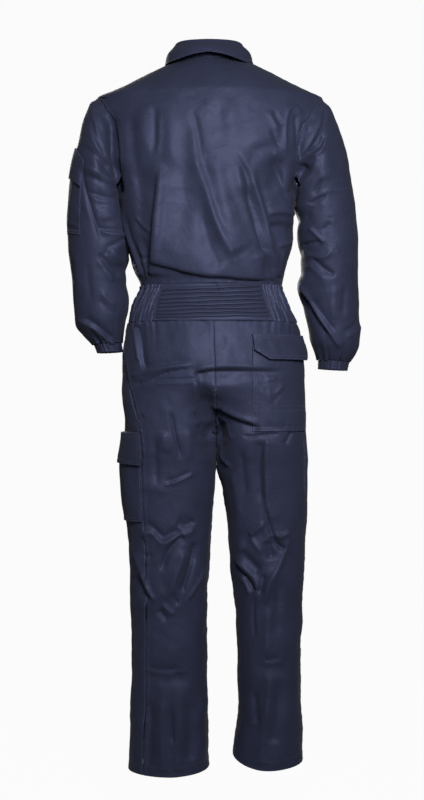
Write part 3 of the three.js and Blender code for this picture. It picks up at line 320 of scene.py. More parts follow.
# Creases seen from behind, placed over the photograph. A group is its regions of the cloth,
# the gain of its lifts, and its rows. A row is the width on its right-hand side going along it and on
# its left-hand side in picture pixels, the lift in millimetres, how sharp it is (2 is soft, 1 is
# crisp), how much of its start and of its end fades out, and the places it passes, in picture pixels
CREASES_BEHIND = [
    ("back", 1, [
        (2.2, 15, 8, 1.5, 0.18, 0.05, [(160.5, 165), (158, 187), (155, 222), (153, 250), (150, 277)]),
        (8, 2.4, -7, 1.7, 0.25, 0.05, [(155, 168), (152.5, 195), (149.5, 230), (147.5, 262)]),
        (1.9, 2, 5, 1.5, 0.25, 0.05, [(119.2, 204), (123.5, 221), (130, 241), (136, 259), (142.5, 277)]),
        (2, 2, -4, 1.6, 0.25, 0.05, [(124.5, 212), (131, 236), (138, 257), (145, 277)]),
        (1.7, 1.8, 3.5, 1.5, 0.3, 0.05, [(137, 236), (141.5, 255), (147.5, 278)]),
        (1.8, 1.8, -3, 1.6, 0.3, 0.05, [(141.5, 232), (145.5, 256), (149, 278)]),
        (5, 5, -3.2, 2, 0.25, 0.3, [(131.5, 100), (132.5, 135), (135.5, 165), (139, 190), (142, 215)]),
        (3.2, 3.2, -2.6, 2, 0.2, 0.3, [(154.5, 102), (155, 130), (153, 157)]),
        (2.4, 3.5, 2.2, 1.8, 0.2, 0.3, [(159.5, 112), (159, 135), (156.5, 160)]),
        (1.5, 1.5, 1.6, 1.3, 0.3, 0.3, [(129, 175), (132.5, 181), (136, 185.5)]),
        (1.8, 1.6, 3.4, 1.2, 0.15, 0.2, [(135.3, 215.5), (141, 223.5), (148, 231), (151, 234)]),
        (2.4, 2.6, -2.2, 1.6, 0.2, 0.2, [(135, 221), (141, 229), (147, 236)]),
        (1.5, 1.5, -1.6, 1.4, 0.3, 0.3, [(138, 204.5), (142, 206.5), (147, 205.5)]),
        (1.3, 1.3, 1.1, 1.2, 0.3, 0.3, [(165, 204), (170, 201.8), (176, 202), (180, 204)]),
        (5.4, 3.8, 3.6, 1.8, 0.3, 0.12, [(193, 116), (194, 142), (197.5, 163), (203.5, 180), (209, 199),
            (215.5, 221), (224, 242), (236, 260), (250, 272)]),
        (4.4, 9, -4.6, 1.9, 0.3, 0.15, [(199.5, 135), (202.5, 158), (209, 178), (216, 201), (224, 222),
            (234, 243)]),
        (8, 5, -4, 1.9, 0.3, 0.1, [(201, 205), (205, 230), (212, 252), (221, 268)]),
    ]),
    ("back", 1.5, [
        (7, 3, -6.5, 1.7, 0.25, 0.08, [(232, 146), (237, 157), (246, 172), (251, 187), (257, 205),
            (263, 223), (268, 242), (272, 262), (274.5, 280)]),
        (3, 4.2, 3.2, 1.6, 0.3, 0.08, [(247.5, 166), (254, 184), (260, 203), (265.8, 222), (270, 241),
            (274, 260), (276.5, 279)]),
        (3.5, 5, -5, 1.8, 0.25, 0.15, [(256, 168), (262.5, 190), (268.5, 210), (274.5, 232),
            (277.5, 258)]),
        (1.6, 9, 4.5, 1.4, 0.15, 0, [(269, 214.5), (275, 213), (283, 212.6), (293, 214.8)]),
        (9, 4, -5.5, 1.9, 0.2, 0, [(270, 228), (280, 226), (292, 229)]),
        (1.4, 3, 3, 1.3, 0.2, 0, [(279, 248), (284, 244.5), (292, 243.5)]),
        (1.8, 1.6, 2.8, 1.4, 0.15, 0.05, [(283.5, 249), (281.5, 260), (278.5, 277)]),
        (2, 1.8, -3.2, 1.5, 0.2, 0.05, [(287.5, 250), (284, 263), (281, 280)]),
        (1.5, 1.4, -2.6, 1.4, 0.3, 0.05, [(263, 262), (268, 273), (273, 284)]),
        (1.6, 1.4, 2.2, 1.4, 0.3, 0.05, [(267.5, 264), (271, 275), (274, 284)]),
    ]),
    ("back", 1, [
        (2, 2.2, 3.4, 1.5, 0.3, 0.15, [(286.5, 158), (285.5, 135), (287.5, 114), (292, 107), (298, 109),
            (302.5, 118)]),
        (2.2, 2.2, -4, 1.6, 0.2, 0.2, [(295.5, 113), (296.3, 130), (297.5, 154)]),
        (2.2, 1.8, -4.4, 1.5, 0.25, 0.2, [(273.5, 110), (277.5, 118), (283, 127)]),
        (2.2, 2.4, 2.4, 1.7, 0.25, 0.25, [(267.5, 109), (272.5, 120), (279, 131)]),
        (2.4, 2.4, -3, 1.7, 0.3, 0.3, [(270, 127), (275, 138), (281, 150)]),
        (1.5, 1.9, 2.8, 1.4, 0.25, 0.25, [(273, 151.5), (278, 156), (283.5, 162)]),
    ]),
    ("back", 1.5, [
        (4, 4, -4.2, 1.8, 0.25, 0.25, [(270.5, 156), (276, 169), (283, 188), (288, 203)]),
    ]),
    ("back", 1, [
        (3.5, 3.5, -1, 2, 0.3, 0.3, [(248.5, 100), (254.5, 112)]),
        (3.5, 3.5, -1.3, 2, 0.3, 0.3, [(189, 91), (197, 97), (207, 104)]),
        (4, 3.2, -3, 1.9, 0.25, 0.3, [(190.5, 107), (196, 123), (199, 140), (201, 156)]),
        (1.5, 1.5, 0.8, 1.5, 0.3, 0.3, [(203, 118), (207, 115), (212.5, 111.5)]),
        (2.2, 2.2, -1.6, 1.8, 0.2, 0.2, [(204, 155.5), (217, 155)]),
        (7, 7, -2, 2, 0.3, 0.3, [(218, 94), (219.5, 118), (222, 150)]),
        (8, 8, 1.6, 2, 0.3, 0.3, [(231, 98), (234, 140)]),
        (10, 10, 2.4, 2, 0.3, 0.3, [(248, 116), (255, 134), (260, 150)]),
        (8, 8, 3.5, 2, 0.3, 0.3, [(171, 105), (170, 135), (172, 170)]),
        (7, 7, 2.6, 2, 0.3, 0.3, [(120.5, 122), (121.5, 150), (124, 172)]),
        (6, 6, 2.6, 2, 0.3, 0.3, [(143.5, 104), (144, 130), (146, 156)]),
        (8, 20, 8, 2, 0.25, 0.1, [(206, 172), (212, 198), (222, 228), (238, 256)]),
    ]),
    ("back", 1.5, [
        (11, 5, -8, 1.9, 0.25, 0.1, [(245, 182), (252, 205), (259, 230), (266, 256)]),
    ]),
    ("back sleeve_left", 1, [
        (3.4, 4.6, -16, 1.6, 0.18, 0, [(106, 113), (110.5, 124), (112.3, 141), (113, 156), (115, 172),
            (117, 190)]),
    ]),
    ("sleeve_left", 1, [
        (2.2, 1.6, 4.5, 1.5, 0.3, 0.15, [(100, 139), (105, 153), (109.5, 165), (112.8, 178),
            (114.2, 192)]),
        (1.5, 1.6, -4, 1.3, 0.15, 0.2, [(90.6, 117.8), (94.7, 134), (100.8, 146.5), (107.5, 156.5)]),
        (1.5, 1.5, 2.4, 1.3, 0.2, 0.2, [(88.7, 126), (92.7, 139), (98.5, 150.5), (105, 160)]),
        (2.2, 2, 2.6, 1.6, 0.3, 0.3, [(98, 113), (101, 122), (105, 133)]),
        (3.4, 3.4, -4.2, 1.7, 0.2, 0.15, [(84, 147), (92, 153), (101, 161), (108.5, 170)]),
        (2.6, 2.2, 3, 1.5, 0.2, 0.15, [(84, 168), (97, 172), (110, 181)]),
        (2.2, 2.8, -3.8, 1.6, 0.2, 0.15, [(83, 176), (97, 180), (111, 189)]),
        (1.8, 2.4, -3.2, 1.5, 0.2, 0.15, [(86, 191), (98, 195.5), (112, 199.5)]),
        (2.6, 2.2, 2.4, 1.6, 0.25, 0.2, [(90, 197), (101, 201), (113, 205)]),
        (1.7, 2.6, -5.4, 1.3, 0.12, 0.2, [(82, 165), (84.5, 186), (89.6, 204), (94.7, 221), (99.8, 234),
            (101, 246)]),
        (6, 6, 3.6, 2, 0.3, 0.3, [(102, 205), (106, 222)]),
        (1.6, 1.8, -3.6, 1.4, 0.2, 0, [(97, 227.5), (107, 229.8), (118, 231)]),
        (2.2, 1.6, 4, 1.4, 0.2, 0, [(98, 230.5), (108, 233.5), (119, 237.5)]),
        (3, 2.4, -5, 1.6, 0, 0.2, [(118.5, 240.5), (111, 247), (104, 256)]),
        (2.4, 3, -5.4, 1.5, 0.2, 0.05, [(97.5, 252.5), (107.5, 263.5), (119, 276)]),
        (4, 3.4, 4, 1.7, 0.2, 0.05, [(108, 246), (115, 256), (121, 264)]),
        (2.6, 2, 3.2, 1.6, 0.2, 0.1, [(98, 260), (106, 271), (114, 281)]),
        (1.6, 1.6, -2.2, 1.4, 0.2, 0.3, [(78, 204.5), (82, 210), (86.5, 214)]),
        (1.4, 1.4, 1.6, 1.3, 0.1, 0.3, [(69, 222.8), (76, 225), (84, 229)]),
        (1.4, 1.4, -1.6, 1.3, 0.1, 0.3, [(69, 226.8), (76, 229), (83, 231)]),
        (2.6, 2.6, 2.2, 1.8, 0.2, 0.3, [(75.5, 250), (77.5, 275), (79.5, 300)]),
        (3.5, 3.5, -3, 1.9, 0.3, 0.3, [(86, 258), (88, 280), (91, 306)]),
        (3.6, 1.5, 6, 1.3, 0.12, 0.1, [(78.5, 318.5), (86.3, 322.7), (96.7, 330), (106.3, 338),
            (115, 344)]),
        (1.8, 4, -5, 1.5, 0.15, 0.1, [(84, 318), (93, 323.5), (103, 331), (114, 340)]),
        (4, 4, -3.4, 1.8, 0.2, 0.2, [(88, 331), (97, 338), (105, 344)]),
        (2.4, 2.6, 2.6, 1.7, 0.3, 0.2, [(100, 290), (108, 300), (118, 306)]),
        (2.6, 2.6, -2.6, 1.7, 0.3, 0.2, [(98, 297), (107, 308), (119, 315)]),
    ]),
    ("back sleeve_right", 1, [
        (1.4, 1.4, -5, 1.3, 0.1, 0, [(321.7, 106.5), (319.6, 122.3), (312.2, 139.3), (303.5, 153)]),
    ]),
    ("sleeve_right", 1, [
        (1.3, 1.4, 4.5, 1.3, 0.15, 0, [(320, 133), (317.5, 140), (312.5, 146.5), (303.2, 154.5)]),
        (1.6, 2.4, -5, 1.4, 0.15, 0, [(323.5, 134), (320.5, 144), (314, 150.5), (304.5, 155.8)]),
        (1.6, 1.8, 4, 1.4, 0.15, 0, [(326.5, 135), (323, 148), (316, 153.5), (304, 157)]),
    ]),
    ("back sleeve_right", 1, [
        (1.8, 2, -9, 1.3, 0.15, 0, [(306, 119), (302, 134), (300.4, 154)]),
        (3.6, 3.6, 4, 1.8, 0.2, 0.2, [(309.5, 121), (308.5, 132)]),
        (1.5, 1.5, 3, 1.3, 0, 0.2, [(302.5, 157.5), (309, 156), (315.5, 156), (317, 161)]),
        (4.8, 5, -14, 1.6, 0.15, 0.1, [(305, 162), (302, 172), (297, 185), (294.5, 197)]),
        (1.3, 1.3, 3, 1.3, 0.2, 0.2, [(294, 178.5), (298, 176.4), (304, 178.3)]),
    ]),
    ("sleeve_right", 1, [
        (3, 2.4, 3.4, 1.6, 0.2, 0.2, [(318, 158), (313, 172), (306, 190), (300, 206)]),
        (1.8, 1.6, -3.8, 1.5, 0.2, 0.2, [(323, 179), (318.5, 186), (313.5, 194)]),
        (2, 2, -3.8, 1.5, 0.2, 0.2, [(310.5, 205.5), (317, 200), (327, 195.8)]),
        (2, 2, 2.4, 1.5, 0.2, 0.2, [(311, 200.5), (318, 195.5), (328, 192)]),
        (1.3, 1.3, 1.4, 1.3, 0.2, 0.1, [(321, 192), (337, 190.5), (352, 190.7)]),
        (2.2, 2, -3.4, 1.5, 0.25, 0.25, [(313.5, 205), (309.5, 212), (307, 220)]),
        (2, 2.2, 5, 1.3, 0.12, 0.15, [(308.5, 226.5), (316, 234.5), (325, 243.5)]),
        (2.6, 1.8, -5, 1.5, 0.1, 0.1, [(301.5, 246), (311, 243.2), (322, 242.2)]),
        (2.6, 2.8, -3, 1.8, 0.3, 0.3, [(322, 231), (327, 227), (332, 222)]),
        (1.5, 1.5, -1.8, 1.4, 0.3, 0.3, [(327.5, 216.5), (331, 218.3), (335, 217.5)]),
        (2.4, 2, 3.6, 1.6, 0.1, 0.2, [(302.5, 249), (309, 254.5), (317, 257.5), (326.5, 255.5),
            (332.5, 248)]),
        (2.4, 2.2, -5.6, 1.5, 0.15, 0.15, [(310.5, 255.5), (319, 264.5), (327, 271), (335.5, 275.3)]),
        (3, 2.4, 3, 1.7, 0.2, 0.2, [(306, 262), (316, 272), (327, 280)]),
        (1.3, 1.3, -2.4, 1.3, 0.2, 0.2, [(343.5, 254.5), (347, 258.3), (350.5, 256)]),
        (1.9, 2.2, 7, 1.3, 0.08, 0.1, [(299.5, 283), (306, 294), (312, 304), (319, 315), (326, 326),
            (333, 336.5), (341, 349)]),
        (4.2, 1.8, -5.6, 1.6, 0.12, 0.12, [(301.5, 291), (309.5, 306), (318.5, 321), (328.5, 337)]),
        (1.7, 3, -3.6, 1.5, 0.15, 0.15, [(309.5, 297), (317, 307), (325, 318), (335, 332)]),
        (2.2, 1.8, -4, 1.5, 0.2, 0, [(342.5, 331.5), (351, 327.5), (360, 317)]),
        (2.4, 2, 2.8, 1.6, 0.2, 0, [(345, 337), (353, 333), (361, 325)]),
        (3, 3.4, -3.4, 1.9, 0.3, 0.3, [(345.5, 280), (344, 300), (342, 320)]),
        (4, 4, 2.6, 1.9, 0.3, 0.3, [(336, 282), (333, 305), (334, 322)]),
        (5, 5, 2.4, 2, 0.3, 0.3, [(341, 130), (345, 165), (346, 200)]),
    ]),
    ("waist", 1, [
        (1.4, 1.6, -2.6, 1.5, 0, 0.2, [(214, 277), (215.6, 287), (218.5, 292)]),
        (1.8, 1.8, 1.4, 1.7, 0, 0.2, [(218.5, 278), (220.3, 288)]),
    ]),
    ("seat", 1.4, [
        (2.4, 1.1, 3.6, 1.6, 0.05, 0.15, [(134.5, 327), (137, 345), (139.5, 362)]),
        (1.2, 5, -5, 1.5, 0.05, 0.05, [(136.8, 325), (140, 341), (142, 357), (143.3, 368)]),
        (1.2, 5, -4.6, 1.4, 0.03, 0.3, [(143, 370), (154.6, 366), (167.4, 363.6), (180, 362.5),
            (194, 361.8)]),
        (3, 1.4, 3.6, 1.5, 0.1, 0.3, [(131, 377), (146, 371.5), (163, 367.2), (181, 365), (197, 364.5)]),
        (1.3, 1.3, -4.6, 1.2, 0.1, 0.2, [(132.8, 385.2), (139.8, 382.7), (149.7, 379.2), (159.5, 375.3),
            (171.4, 371.8), (187.2, 368.9), (198, 366.2)]),
        (1.6, 1.2, -3.4, 1.3, 0.15, 0.15, [(148.7, 380.7), (167.4, 379.7), (183.3, 379.2), (200, 378.6)]),
        (1.6, 1.4, 2.2, 1.4, 0.15, 0.15, [(152, 383.6), (167.4, 382.5), (183.3, 382), (200, 381.3)]),
        (8, 1.3, -7, 1.4, 0.1, 0.35, [(191.5, 376), (198, 373), (209, 371.4), (222, 370.2), (240, 370.4),
            (256, 370.8), (270, 371), (289, 370.4)]),
        (1.3, 6, 3.6, 1.5, 0.15, 0.4, [(193, 372.5), (200, 370), (210, 368.3), (222, 367.2), (240, 367.4),
            (256, 367.8), (275, 368)]),
        (2.6, 9, -8, 1.6, 0.2, 0.15, [(200.5, 377), (200.5, 398), (203, 420), (208, 446)]),
    ]),
    ("seat leg_left leg_right", 1.4, [
        (12, 16, -12, 2, 0.3, 0.25, [(205, 386), (208, 420), (213, 462)]),
    ]),
    ("seat", 1.4, [
        (4.4, 1.6, 3.4, 1.7, 0.2, 0.2, [(197.5, 379), (195.5, 398), (197, 417)]),
        (6.5, 1.2, -6, 1.4, 0.1, 0.12, [(211.5, 414.2), (223, 414.2), (229, 416.4), (242, 422.2),
            (251, 425.5), (261, 427.6)]),
        (1.3, 3.6, 4.6, 1.5, 0.1, 0.15, [(211, 411.5), (221, 410), (228, 412), (240, 418), (258, 424.5)]),
        (1.1, 1.2, 1.8, 1.2, 0.1, 0.2, [(222, 408), (226, 413), (230, 416)]),
    ]),
    ("seat leg_right", 1.4, [
        (1.4, 1.4, 3.8, 1.3, 0.1, 0.2, [(213, 441.5), (217.2, 443.5), (222.8, 457), (232, 468)]),
        (1.4, 1.4, 2.2, 1.3, 0.2, 0.2, [(223.5, 421.5), (228.7, 433), (232, 440)]),
    ]),
    ("seat leg_left", 1.4, [
        (2, 2, -2.4, 1.6, 0.2, 0.2, [(133.5, 425), (138, 420), (145, 415.5)]),
        (1.4, 2.2, -4.8, 1.3, 0.15, 0.2, [(170, 411), (173.2, 428), (176.3, 441), (181, 459)]),
        (5.5, 4.5, 3.4, 1.9, 0.3, 0.3, [(163, 430), (165, 455)]),
        (4, 4, 2.6, 1.9, 0.3, 0.3, [(188, 425), (189, 447), (186, 466)]),
        (3.5, 3.5, -2.6, 1.9, 0.3, 0.3, [(155, 432), (155, 460), (157, 490)]),
    ]),
    ("seat", 1.4, [
        (2.4, 2.4, -1, 1.8, 0.3, 0.3, [(219.5, 334), (223.5, 341), (224, 350)]),
        (3.4, 3.4, 0.8, 2, 0.3, 0.3, [(236, 335), (240, 352)]),
    ]),
    ("hip_pocket seat", 0.65, [
        (1.5, 1.7, 3, 1.4, 0.2, 0.2, [(283, 383.5), (279, 389), (274.5, 395.5)]),
        (1.5, 1.5, 2.4, 1.4, 0.2, 0.2, [(265, 379.3), (270, 378.6), (276, 378.2)]),
    ]),
    ("hip_pocket", 0.65, [
        (1.3, 1.3, 2.2, 1.4, 0.2, 0.2, [(261.5, 390), (264.3, 396), (265, 402)]),
        (1.3, 1.3, 2, 1.4, 0.2, 0.2, [(267.5, 391), (269, 397), (268.5, 403)]),
        (1.8, 1.8, -2.6, 1.6, 0.2, 0.2, [(258, 382), (264, 386), (267, 393)]),
        (2, 2, -2.6, 1.6, 0.2, 0.2, [(280, 392), (275, 399), (271, 403)]),
        (2.4, 5, -3, 1.8, 0.2, 0.2, [(264, 425), (276, 427.5), (288, 425)]),
    ]),
    ("hip_pocket_flap", 0.65, [
        (3, 3, 1.8, 1.9, 0.2, 0.2, [(272.5, 339), (274.5, 356)]),
        (1.6, 1.6, -1.2, 1.7, 0.2, 0.2, [(266, 338), (267, 350)]),
    ]),
    ("seat leg_right", 1.4, [
        (2, 9, 5.6, 1.6, 0.08, 0.15, [(268, 436), (265.6, 446), (265.2, 470), (266.5, 500), (270, 527)]),
        (6, 2, -4, 1.8, 0.1, 0.2, [(261.5, 440), (260, 470), (262, 505)]),
        (1.6, 1.6, -3.8, 1.4, 0.1, 0.2, [(292, 432), (288.5, 438), (284.5, 445)]),
        (3.4, 3.4, -3, 1.8, 0.25, 0.25, [(240, 445), (243, 470), (246, 500)]),
        (4, 4, 2.8, 1.9, 0.25, 0.25, [(232, 470), (237, 495), (240, 520)]),
        (1.5, 1.2, -3, 1.3, 0.1, 0.1, [(242.5, 434.8), (250.5, 436.4), (262, 435), (279, 433.6)]),
    ]),
    ("leg_left", 1.45, [
        (1.2, 1.3, 3, 1.2, 0.2, 0.15, [(161.6, 486.3), (171, 483.5), (180, 480.3), (194.5, 473)]),
        (1.3, 2.2, -2.4, 1.5, 0.2, 0.2, [(164, 482.6), (178, 477.7), (191, 471.5)]),
        (5, 1.8, 4.2, 1.4, 0.12, 0.12, [(138.6, 539.6), (141.8, 534.6), (150.8, 531.6), (156.5, 537),
            (162.7, 543), (171.4, 539.2), (180, 535.2), (188.7, 531.8), (195.5, 525.5)]),
        (3, 4.4, -3.6, 1.8, 0.15, 0.15, [(140, 530), (147, 525.5), (154.5, 529.5), (163, 536.5),
            (172, 533.5), (182, 527.5)]),
        (1.6, 7, -4.4, 1.7, 0.15, 0.15, [(175.5, 524), (185.4, 526), (195.5, 521)]),
        (3, 4, -6.4, 1.6, 0.1, 0.2, [(184.5, 534.5), (174, 544.5), (166, 556), (161, 573)]),
        (3.4, 3, -6.4, 1.6, 0.15, 0.15, [(195.5, 540), (193, 556), (189, 571), (184.5, 584), (181, 594)]),
        (5, 4.5, 4.4, 1.8, 0.15, 0.25, [(184, 549), (180, 565), (173, 584), (168, 602)]),
        (1.6, 1.6, 3.8, 1.3, 0.15, 0.2, [(205, 566), (198.3, 580.5), (191, 593), (186, 603)]),
        (1.8, 2.6, 4, 1.4, 0.15, 0.15, [(133.5, 549), (138, 562), (143, 577), (149, 591), (155.5, 604)]),
        (6, 1.8, -5.4, 1.7, 0.15, 0.2, [(136, 572), (142, 588), (150, 603)]),
        (3, 3, -4, 1.6, 0.2, 0.2, [(158, 609), (162.5, 615), (168, 620.5)]),
        (2.4, 2.4, -3.4, 1.5, 0.2, 0.2, [(171, 592), (174.5, 598), (178.5, 605)]),
        (2.4, 2.4, 2.8, 1.6, 0.2, 0.2, [(162, 604), (168, 610), (175, 616)]),
        (2, 2, -2.4, 1.5, 0.2, 0.2, [(141, 553), (147, 556), (152, 554)]),
    ]),
    ("leg_left", 0.7, [
        (1.8, 1.2, 2.6, 1.3, 0.15, 0.15, [(145.5, 668.8), (152.7, 672.2), (163.6, 673.8), (171.5, 673.8),
            (179.4, 672.2), (190.5, 669)]),
        (1.2, 3.5, -3, 1.5, 0.15, 0.15, [(146.5, 665), (155, 669), (168, 670), (181, 668)]),
    ]),
    ("leg_left", 1.45, [
        (5, 4.4, -3.8, 1.9, 0.25, 0.1, [(148.5, 695), (150.5, 720), (149, 768)]),
        (1.8, 2, -2.8, 1.6, 0.25, 0.2, [(170, 702), (171.5, 722), (172.5, 745)]),
        (4.5, 4.5, 2.6, 1.9, 0.25, 0.05, [(162, 690), (162, 730), (162, 772)]),
        (4.5, 4.5, 2.6, 1.9, 0.25, 0.05, [(179, 692), (179, 730), (177, 772)]),
        (5, 5, -3, 1.9, 0.25, 0.1, [(190, 696), (191, 730), (190, 762)]),
    ]),
    ("leg_right", 1.45, [
        (2.2, 2, -4.4, 1.5, 0.2, 0.1, [(266, 508), (268.5, 523), (273, 537)]),
        (3, 1.5, 5.4, 1.3, 0.1, 0.1, [(274.5, 533.5), (281, 535.5), (289.8, 531.2)]),
        (2.8, 2, -5.8, 1.5, 0.1, 0.1, [(271.5, 536), (277, 543.5), (284.5, 549.5)]),
        (3.2, 3, 4.6, 1.5, 0.1, 0.2, [(289.5, 536), (284, 554), (276.5, 570), (268, 587), (265.5, 606)]),
        (1.6, 2.6, 4, 1.4, 0.1, 0.15, [(250, 535.6), (257, 530), (265, 522.5)]),
        (2.2, 2.2, 2.8, 1.6, 0.15, 0.2, [(250.5, 537), (256, 545), (262.5, 554)]),
        (5, 5, -5, 1.8, 0.2, 0.2, [(268, 540), (270, 552), (273, 560)]),
        (3.4, 3.4, 5, 1.6, 0.15, 0.1, [(236, 559.5), (245.5, 568.5), (254.5, 579), (258, 590)]),
        (1.8, 1.6, -6, 1.4, 0.1, 0.15, [(234.5, 562), (240.5, 571), (247.3, 580), (255, 592)]),
        (2.6, 2.4, 3.4, 1.6, 0.15, 0.2, [(240.5, 575), (246.5, 586.5), (250.5, 596)]),
        (5.5, 5, -5.4, 1.8, 0.15, 0.15, [(239, 550), (249.5, 561), (260.5, 572)]),
        (2.4, 2.4, -4, 1.6, 0.1, 0.2, [(264, 574.5), (262, 584), (259, 596)]),
        (4.5, 4.5, -3, 1.9, 0.25, 0.25, [(280.5, 575), (277.5, 605), (277, 640)]),
        (4, 4, 2.6, 1.9, 0.25, 0.25, [(268, 605), (267, 640), (268, 660)]),
        (1.6, 1.6, -2.6, 1.6, 0.25, 0.25, [(255, 596), (253.5, 617), (255, 640)]),
    ]),
    ("leg_right", 0.7, [
        (1.7, 1.2, 2.4, 1.3, 0.15, 0.15, [(263, 663.4), (271, 663.2), (278.4, 662.2), (285, 659.6)]),
        (1.2, 3, -2.6, 1.5, 0.15, 0.15, [(263.5, 660), (271, 659.8), (280, 658)]),
    ]),
    ("leg_right", 1.45, [
        (3.4, 3, -3.2, 1.8, 0.25, 0.2, [(253, 688), (256, 708), (257.5, 726)]),
        (5, 4, 3, 1.8, 0.2, 0.05, [(271, 672), (267.5, 705), (263.5, 735), (261, 766)]),
        (5, 6, -3.4, 1.9, 0.25, 0.1, [(281, 676), (277.5, 710), (273, 745)]),
    ]),
]
